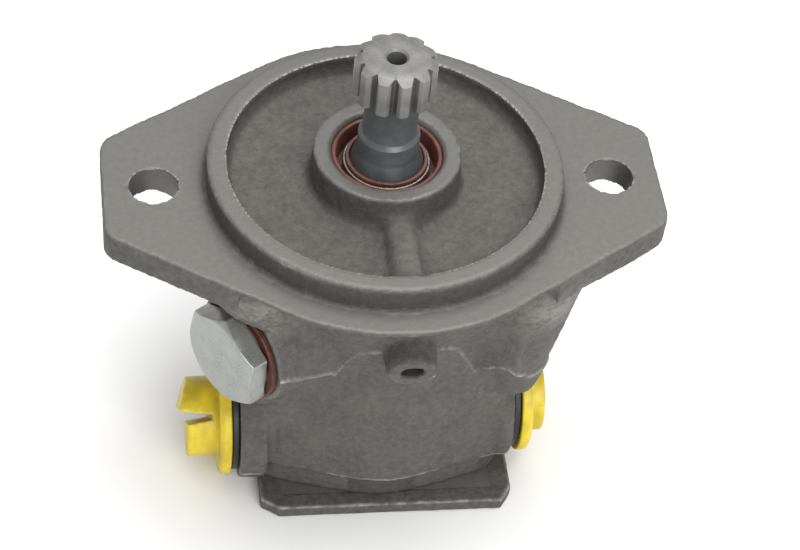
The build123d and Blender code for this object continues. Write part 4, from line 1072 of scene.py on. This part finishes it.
@dataclass
class DriveShaft(SubAssembly):
    """The splined shaft."""

    body: str = "rotating_group"
    teeth: int = 11
    samples: int = 32
    root_r: float = 7.6 * MM
    tip_r: float = 9.4 * MM
    tip_width: float = 1.9 * MM
    root_width: float = 4.1 * MM
    phase: float = -17.2
    inner_teeth: int = 12
    inner_root_r: float = 5.7 * MM
    inner_tip_r: float = 6.4 * MM
    top: float = 38.1 * MM
    spline_foot: float = 27.9 * MM
    hole_r: float = 2.25 * MM
    chamfer_knee: tuple[float, float] = (9.6 * MM, 36.9 * MM)
    chamfer_slope: float = 1.3 / 2.2
    rear_journal: Stations = ((5.6, -61.9), (5.7, -61.5), (5.7, -48.7))
    bearing_seat: Stations = (
        (5.7, -30.3), (7.9, -29.4), (8.0, -29.2), (8.0, -21.9), (10.0, -21.9), (10.2, -21.7), (10.2, -19.9),
    )
    seal_journal: Stations = (
        (8.5, -19.9), (8.5, 0.0), (8.5, 7.3), (8.42, 7.7), (7.35, 10.6), (7.15, 11.2), (7.15, 15.3),
    )
    neck: Stations = (
        (7.08, 15.6), (6.3, 16.4), (6.2, 16.7), (6.2, 22.0), (6.2, 26.5), (6.35, 27.0), (7.3, 27.9),
    )
    end_hole: Stations = (
        (7.45, 38.1), (5.0, 38.1), (2.8, 38.1), (2.25, 37.6), (2.25, 33.0), (2.25, 29.2), (0.4, 28.4),
    )

    def tooth(
        self, teeth: int, root: float, tip: float, widths: tuple[float, float], phase: float
    ) -> np.ndarray:
        """Radius of a splined section all the way round.

        Args:
            teeth: Number of teeth.
            root: Root radius.
            tip: Tip radius.
            widths: Width of a tooth at its tip and at its root.
            phase: Turn of the first tooth, in radians.

        Returns:
            One radius per point of a ring.
        """
        count = self.teeth * self.samples
        angle = np.arange(count) * (2 * math.pi / count) - phase
        pitch = 2 * math.pi / teeth
        off = np.abs((angle + pitch / 2) % pitch - pitch / 2)
        narrow, wide = widths[0] / 2 / tip, widths[1] / 2 / root
        lift = np.clip((wide - off) / (wide - narrow), 0, 1)
        return root + (tip - root) * (lift * 0.75 + eased(lift, 0, 1) * 0.25)

    def build(self) -> None:
        """Turn the shaft and cut its two splines."""
        count = self.teeth * self.samples
        outer = self.tooth(
            self.teeth, self.root_r, self.tip_r, (self.tip_width, self.root_width), math.radians(self.phase)
        )
        inner = self.tooth(self.inner_teeth, self.inner_root_r, self.inner_tip_r, (1.3 * MM, 1.8 * MM), 0.0)
        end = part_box("drive_shaft")[0].z
        rings: list[np.ndarray] = []

        def turn(*stations: tuple[float, float]) -> None:
            """Add plain rings at stations of radius and height in millimetres."""
            for r, z in stations:
                rings.append(ring(r * MM, z * MM, count))

        turn((0.5, end / MM), (4.8, end / MM), (5.6, end / MM + 0.8))
        turn(*self.rear_journal)
        rings.extend([ring(inner, -48.7 * MM, count), ring(inner, -30.3 * MM, count)])
        turn(*self.bearing_seat, *self.seal_journal, *self.neck)
        rings.append(ring(outer - 0.25 * MM, self.spline_foot, count))
        rings.append(ring(outer, self.spline_foot + 0.25 * MM, count))
        rings.append(ring(outer, 33.0 * MM, count))
        slope = self.chamfer_slope
        knee_r, knee_z = self.chamfer_knee
        rings.append(ring(outer, knee_z + (knee_r - outer) * slope - 0.15 * MM, count))
        for reach in (9.35, 8.9, 8.4, 7.9):
            held = np.minimum(outer - 0.08 * MM, reach * MM)
            rings.append(ring(held, np.minimum(knee_z + (knee_r - held) * slope, self.top), count))
        turn(*self.end_hole)
        piece = named_piece("splined_drive_shaft", ringed_mesh(rings, crease=28.0))
        self.settle(piece, SPLINE_STEEL, "ground_shaft", "drive_shaft")
        piece.data.materials.append(NECK_STEEL.material())
        piece.data.materials.append(SPLINE_ROOT_SHADE.material())
        for face in piece.data.polygons:
            r, z = math.hypot(face.center.x, face.center.y), face.center.z
            if r <= self.hole_r + 0.05 * MM:
                continue
            if 8.6 * MM < z < self.spline_foot - 0.1 * MM:
                face.material_index = 1
            # Spline valleys get the darker steel as painted shade.
            elif self.spline_foot < z < self.top - MM and r < 8.5 * MM:
                face.material_index = 2


@dataclass
class ShaftSeals(SubAssembly):
    """The two lip seals and their garter springs."""

    bore_r: float = 12.88 * MM
    lip_r: float = 8.53 * MM
    width: float = 6.8 * MM
    coils: int = 118

    def profile(self, top: float) -> list[tuple[float, float]]:
        """Section of one seal.

        Args:
            top: Height of its open side.

        Returns:
            Rounded outline of radius and height.
        """
        case, lip, foot = self.bore_r, self.lip_r, top - self.width
        outline = [
            (case, foot + 0.4 * MM), (case - 0.4 * MM, foot), (lip + 0.9 * MM, foot),
            (lip + 0.3 * MM, foot + 1.6 * MM), (lip, top - 2.6 * MM), (lip + 0.15 * MM, top - 0.9 * MM),
            (lip + 0.95 * MM, top - 0.9 * MM), (lip + 0.95 * MM, top - 1.6 * MM),
            (lip + 0.66 * MM, top - 2.2 * MM), (lip + 0.95 * MM, top - 3.0 * MM),
            (lip + 1.5 * MM, foot + 1.4 * MM), (case - 1.3 * MM, foot + 1.4 * MM),
            (case - 1.15 * MM, top - 0.3 * MM), (case - 0.9 * MM, top), (case - 0.3 * MM, top),
            (case, top - 0.35 * MM),
        ]
        return rounded(outline, 0.22 * MM, 3)

    def garter(self, top: float) -> bpy.types.Mesh:
        """Coiled garter spring in the groove behind a lip.

        Args:
            top: Height of the seal's open side.

        Returns:
            Its mesh.
        """
        middle_r, middle_z, wire = self.lip_r + 1.22 * MM, top - 2.25 * MM, 0.5 * MM
        along, sides = self.coils * 6, 12
        rings = []
        for k in range(sides):
            angle = 2 * math.pi * k / sides
            turn = np.arange(along) * (2 * math.pi / along)
            bump = wire * (1 + 0.06 * np.cos(self.coils * turn - angle))
            rings.append(ring(middle_r + bump * math.cos(angle), middle_z + bump * math.sin(angle), along))
        return ringed_mesh(rings, True, 60.0)

    def build(self) -> None:
        """Make both seals with their springs."""
        for place in ("outer", "inner"):
            seal, spring = f"{place}_shaft_seal", f"{place}_seal_spring"
            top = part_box(seal)[1].z
            ring_piece = named_piece(f"{place}_lip_seal", turned(self.profile(top), 160, 50.0))
            self.settle(ring_piece, SEAL_RUBBER, "seal_rubber", seal)
            coil = named_piece(f"{place}_garter", self.garter(top))
            self.settle(coil, SPRING_WIRE, "spring_steel", spring)


@dataclass
class DrainPlug(SubAssembly):
    """The hexagon plug in the drain boss, with its copper washer."""

    turn: float = 214.4
    height: float = -30.2 * MM
    face: float = 40.5 * MM
    washer_thick: float = 1.5 * MM
    washer_r: float = 13.0 * MM
    thread_r: float = 8.95 * MM
    across_flats: float = 22.0 * MM
    head: float = 5.4 * MM
    hex_turn: float = 28.0
    shank: float = 12.7 * MM
    pitch: float = 1.5 * MM
    count: int = 240
    corner_reach: float = 1.145
    thread_rings: int = 64

    def place(self) -> Matrix:
        """Local frame with its Z out along the plug, and X round the case."""
        angle = math.radians(self.turn)
        out = Vector((math.cos(angle), math.sin(angle), 0))
        side = Vector((-math.sin(angle), math.cos(angle), 0))
        up = out.cross(side)
        axes = Matrix((side, up, out)).transposed().to_4x4()
        return Matrix.Translation(out * self.face + Vector((0, 0, self.height))) @ axes

    def build(self) -> None:
        """Make the plug and the washer."""
        angle = np.arange(self.count) * (2 * math.pi / self.count)
        sixth = math.pi / 3
        off = (angle - math.radians(self.hex_turn)) % sixth - sixth / 2
        flats = self.across_flats / 2 / np.cos(off)
        flats = np.minimum(flats, self.across_flats / 2 * self.corner_reach)
        seat, top = self.washer_thick, self.washer_thick + self.head
        bottom = seat - self.shank
        stations = [(self.thread_r - 1.4 * MM, bottom)]
        for level in np.linspace(bottom + 0.6 * MM, seat - 1.2 * MM, self.thread_rings):
            wave = np.abs(((level / self.pitch - angle / (2 * math.pi)) % 1.0) - 0.5) * 2
            stations.append((self.thread_r - wave * 0.75 * MM, level))
        flat_r = self.across_flats / 2 - 0.2 * MM
        drop = math.tan(math.radians(30))
        stations += [
            (self.thread_r - 0.5 * MM, seat - 0.9 * MM), (self.thread_r, seat), (flat_r, seat),
            (flats - 0.12 * MM, seat + 0.35 * MM), (flats, seat + 0.6 * MM), (flats, seat + self.head * 0.5),
            (flats, top - (flats - flat_r) * drop - 0.18 * MM),
        ]
        for share in (0.96, 0.6, 0.25):
            reach = flat_r + (flats - 0.1 * MM - flat_r) * share
            stations.append((reach, top - (reach - flat_r) * drop))
        stations.append((flat_r - 0.15 * MM, top))
        stations += [(reach * MM, top) for reach in (9.0, 6.0, 3.0, 0.5)]
        skin = ringed_mesh([ring(r, z, self.count) for r, z in stations], crease=24.0)
        plug = named_piece("hexagon_drain_plug", skin, self.place())
        self.settle(plug, ZINC, "zinc_plate", "drain_plug")
        inner = self.thread_r + 0.1 * MM
        outline = [(inner, 0.0), (self.washer_r, 0.0), (self.washer_r, seat), (inner, seat)]
        skin = turned(rounded(outline, 0.45 * MM, 4), 128, 50.0)
        washer = named_piece("crushed_washer", skin, self.place())
        self.settle(washer, COPPER, "copper_washer", "drain_washer")


@dataclass
class PortCap(SubAssembly):
    """A soft plastic plug in one port, with the black ring under it."""

    side: Side = Side.LEFT
    turn: float = 0.0
    voxel: float = 0.3 * MM
    keep: float = 0.5

    def build(self) -> None:
        """Soften the plug's edges as a moulding has them, and turn its slot."""
        side = self.side.name.lower()
        name = f"{side}_port_cap"
        low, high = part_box(name)
        skin = Skin([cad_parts[name].data], self.voxel)
        skin.soften(3, np.ones(len(skin.points)))
        middle_y, middle_z = (low.y + high.y) / 2, (low.z + high.z) / 2
        across, up = skin.points[:, 1] - middle_y, skin.points[:, 2] - middle_z
        turn = math.radians(self.turn)
        skin.points[:, 1] = middle_y + across * math.cos(turn) - up * math.sin(turn)
        skin.points[:, 2] = middle_z + across * math.sin(turn) + up * math.cos(turn)
        skin.push(ripples(skin.points, 7 * MM, 11 + self.side.value) * 0.05 * MM)
        skin.keep_inside((low, high))
        piece = skin.finish(f"{side}_shipping_plug", self.keep, 70.0)
        self.settle(piece, CAP_YELLOW, "yellow_plastic", name)
        self.carry(f"{side}_port_seal", BLACK_RUBBER)


@dataclass
class InnerParts(SubAssembly):
    """The bearings and the rotating group, all carried over inside the case."""

    def build(self) -> None:
        """Give each inner solid its finish."""
        metals = {
            HARD_STEEL: (
                "cam_plate", "cam_dowels", "valve_plate", "valve_dowel", "retainer_plate", "ball_guide",
            ),
            BEARING_STEEL: (
                "front_bearing_inner_race", "front_bearing_outer_race", "front_bearing_balls",
                "rear_bearing_cup", "rear_bearing_needles", "hold_down_pins",
            ),
            CAGE_BRASS: ("front_bearing_cage",),
            SPRING_WIRE: (
                "bearing_clip", "block_clip", "block_spring", "upper_spring_washer", "lower_spring_washer",
            ),
            SPLINE_STEEL: ("cylinder_block",),
        }
        for finish, nodes in metals.items():
            for node in nodes:
                self.carry(node, finish)
        for node in sorted(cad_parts):
            if node.startswith("piston_"):
                self.carry(node, HARD_STEEL)
            elif node.startswith("slipper_"):
                self.carry(node, SHOE_BRONZE)


# ------------------------------------------------------------------ studio
@dataclass
class Studio:
    """Floor, lights and camera."""

    eye: Vector = field(default_factory=lambda: Vector((-79.689, -427.032, 414.514)) * MM)
    azimuth: float = -11.387
    elevation: float = 45.687
    roll: float = 6.659
    lens: float = 116.63
    floor_size: float = 6.0
    top_at: tuple[float, float, float] = (0.12, 0.10, 1.1)
    top_size: float = 1.0
    top_watts: float = 14.0
    front_at: tuple[float, float, float] = (0.35, -1.2, 0.7)
    front_size: float = 0.9
    front_watts: float = 13.0
    fill: float = 0.62

    def build(self) -> None:
        """Set the whole studio up."""
        self.lay_floor()
        self.hang_lights()
        self.set_camera()

    def lay_floor(self) -> None:
        """Lay a pale sweep just under the foot cover."""
        half, level = self.floor_size / 2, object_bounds()[0].z - 0.02 * MM
        work = bmesh.new()
        spots = ((-half, -half), (half, -half), (half, half), (-half, half))
        work.faces.new([work.verts.new((x, y, level)) for x, y in spots])
        bmesh.ops.subdivide_edges(work, edges=work.edges, cuts=7, use_grid_fill=True)
        mesh = bpy.data.meshes.new("floor")
        work.to_mesh(mesh)
        work.free()
        floor = named_piece("studio_floor", mesh)
        PAPER.dress(floor)
        floor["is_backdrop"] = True

    def hang_light(self, name: str, at: Sequence[float], size: float, watts: float) -> None:
        """Hang a square soft light that faces the pump.

        Args:
            name: Its name.
            at: Its place.
            size: Its side.
            watts: Its power.
        """
        lamp = bpy.data.lights.new(name, "AREA")
        lamp.size = size
        lamp.energy = watts
        piece = bpy.data.objects.new(name, lamp)
        bpy.context.scene.collection.objects.link(piece)
        piece.location = at
        piece.rotation_mode = "QUATERNION"
        piece.rotation_quaternion = (Vector(at)).to_track_quat("Z", "Y")

    def hang_lights(self) -> None:
        """Hang one broad light overhead and one in front, in an even surround."""
        self.hang_light("overhead_softbox", self.top_at, self.top_size, self.top_watts)
        self.hang_light("front_softbox", self.front_at, self.front_size, self.front_watts)
        world = bpy.data.worlds.new("surround")
        world.use_nodes = True
        back = world.node_tree.nodes["Background"]
        back.inputs["Color"].default_value = (1.0, 1.0, 1.0, 1.0)
        back.inputs["Strength"].default_value = self.fill
        bpy.context.scene.world = world
        bpy.context.scene.view_settings.view_transform = "Standard"

    def set_camera(self) -> None:
        """Stand the camera at the chosen view."""
        a, e, r = (math.radians(v) for v in (self.azimuth, self.elevation, self.roll))
        back = Vector((math.sin(a) * math.cos(e), -math.cos(a) * math.cos(e), math.sin(e)))
        level = (-back).cross(Vector((0, 0, 1))).normalized()
        upright = level.cross(-back)
        right = level * math.cos(r) + upright * math.sin(r)
        up = upright * math.cos(r) - level * math.sin(r)
        lens = bpy.data.cameras.new("camera")
        lens.lens, lens.sensor_width = self.lens, 36.0
        lens.clip_start, lens.clip_end = 0.01, 20.0
        camera = bpy.data.objects.new("camera", lens)
        bpy.context.scene.collection.objects.link(camera)
        camera.matrix_world = Matrix.Translation(self.eye) @ Matrix((right, up, back)).transposed().to_4x4()
        bpy.context.scene.camera = camera


def corners(box: tuple[Vector, Vector]) -> list[list[float]]:
    """The two corners of a box as plain lists."""
    return [list(box[0]), list(box[1])]


def main() -> None:
    """Build the pump and its studio."""
    logging.basicConfig(level=logging.INFO, format="%(message)s")
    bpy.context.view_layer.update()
    groups = (
        Housing(), RearCover(), DriveShaft(), ShaftSeals(), DrainPlug(),
        PortCap(side=Side.LEFT), PortCap(side=Side.RIGHT, turn=90.0), InnerParts(),
    )
    for group in groups:
        group.build()
    Studio().build()


if __name__ == "__main__":
    main()
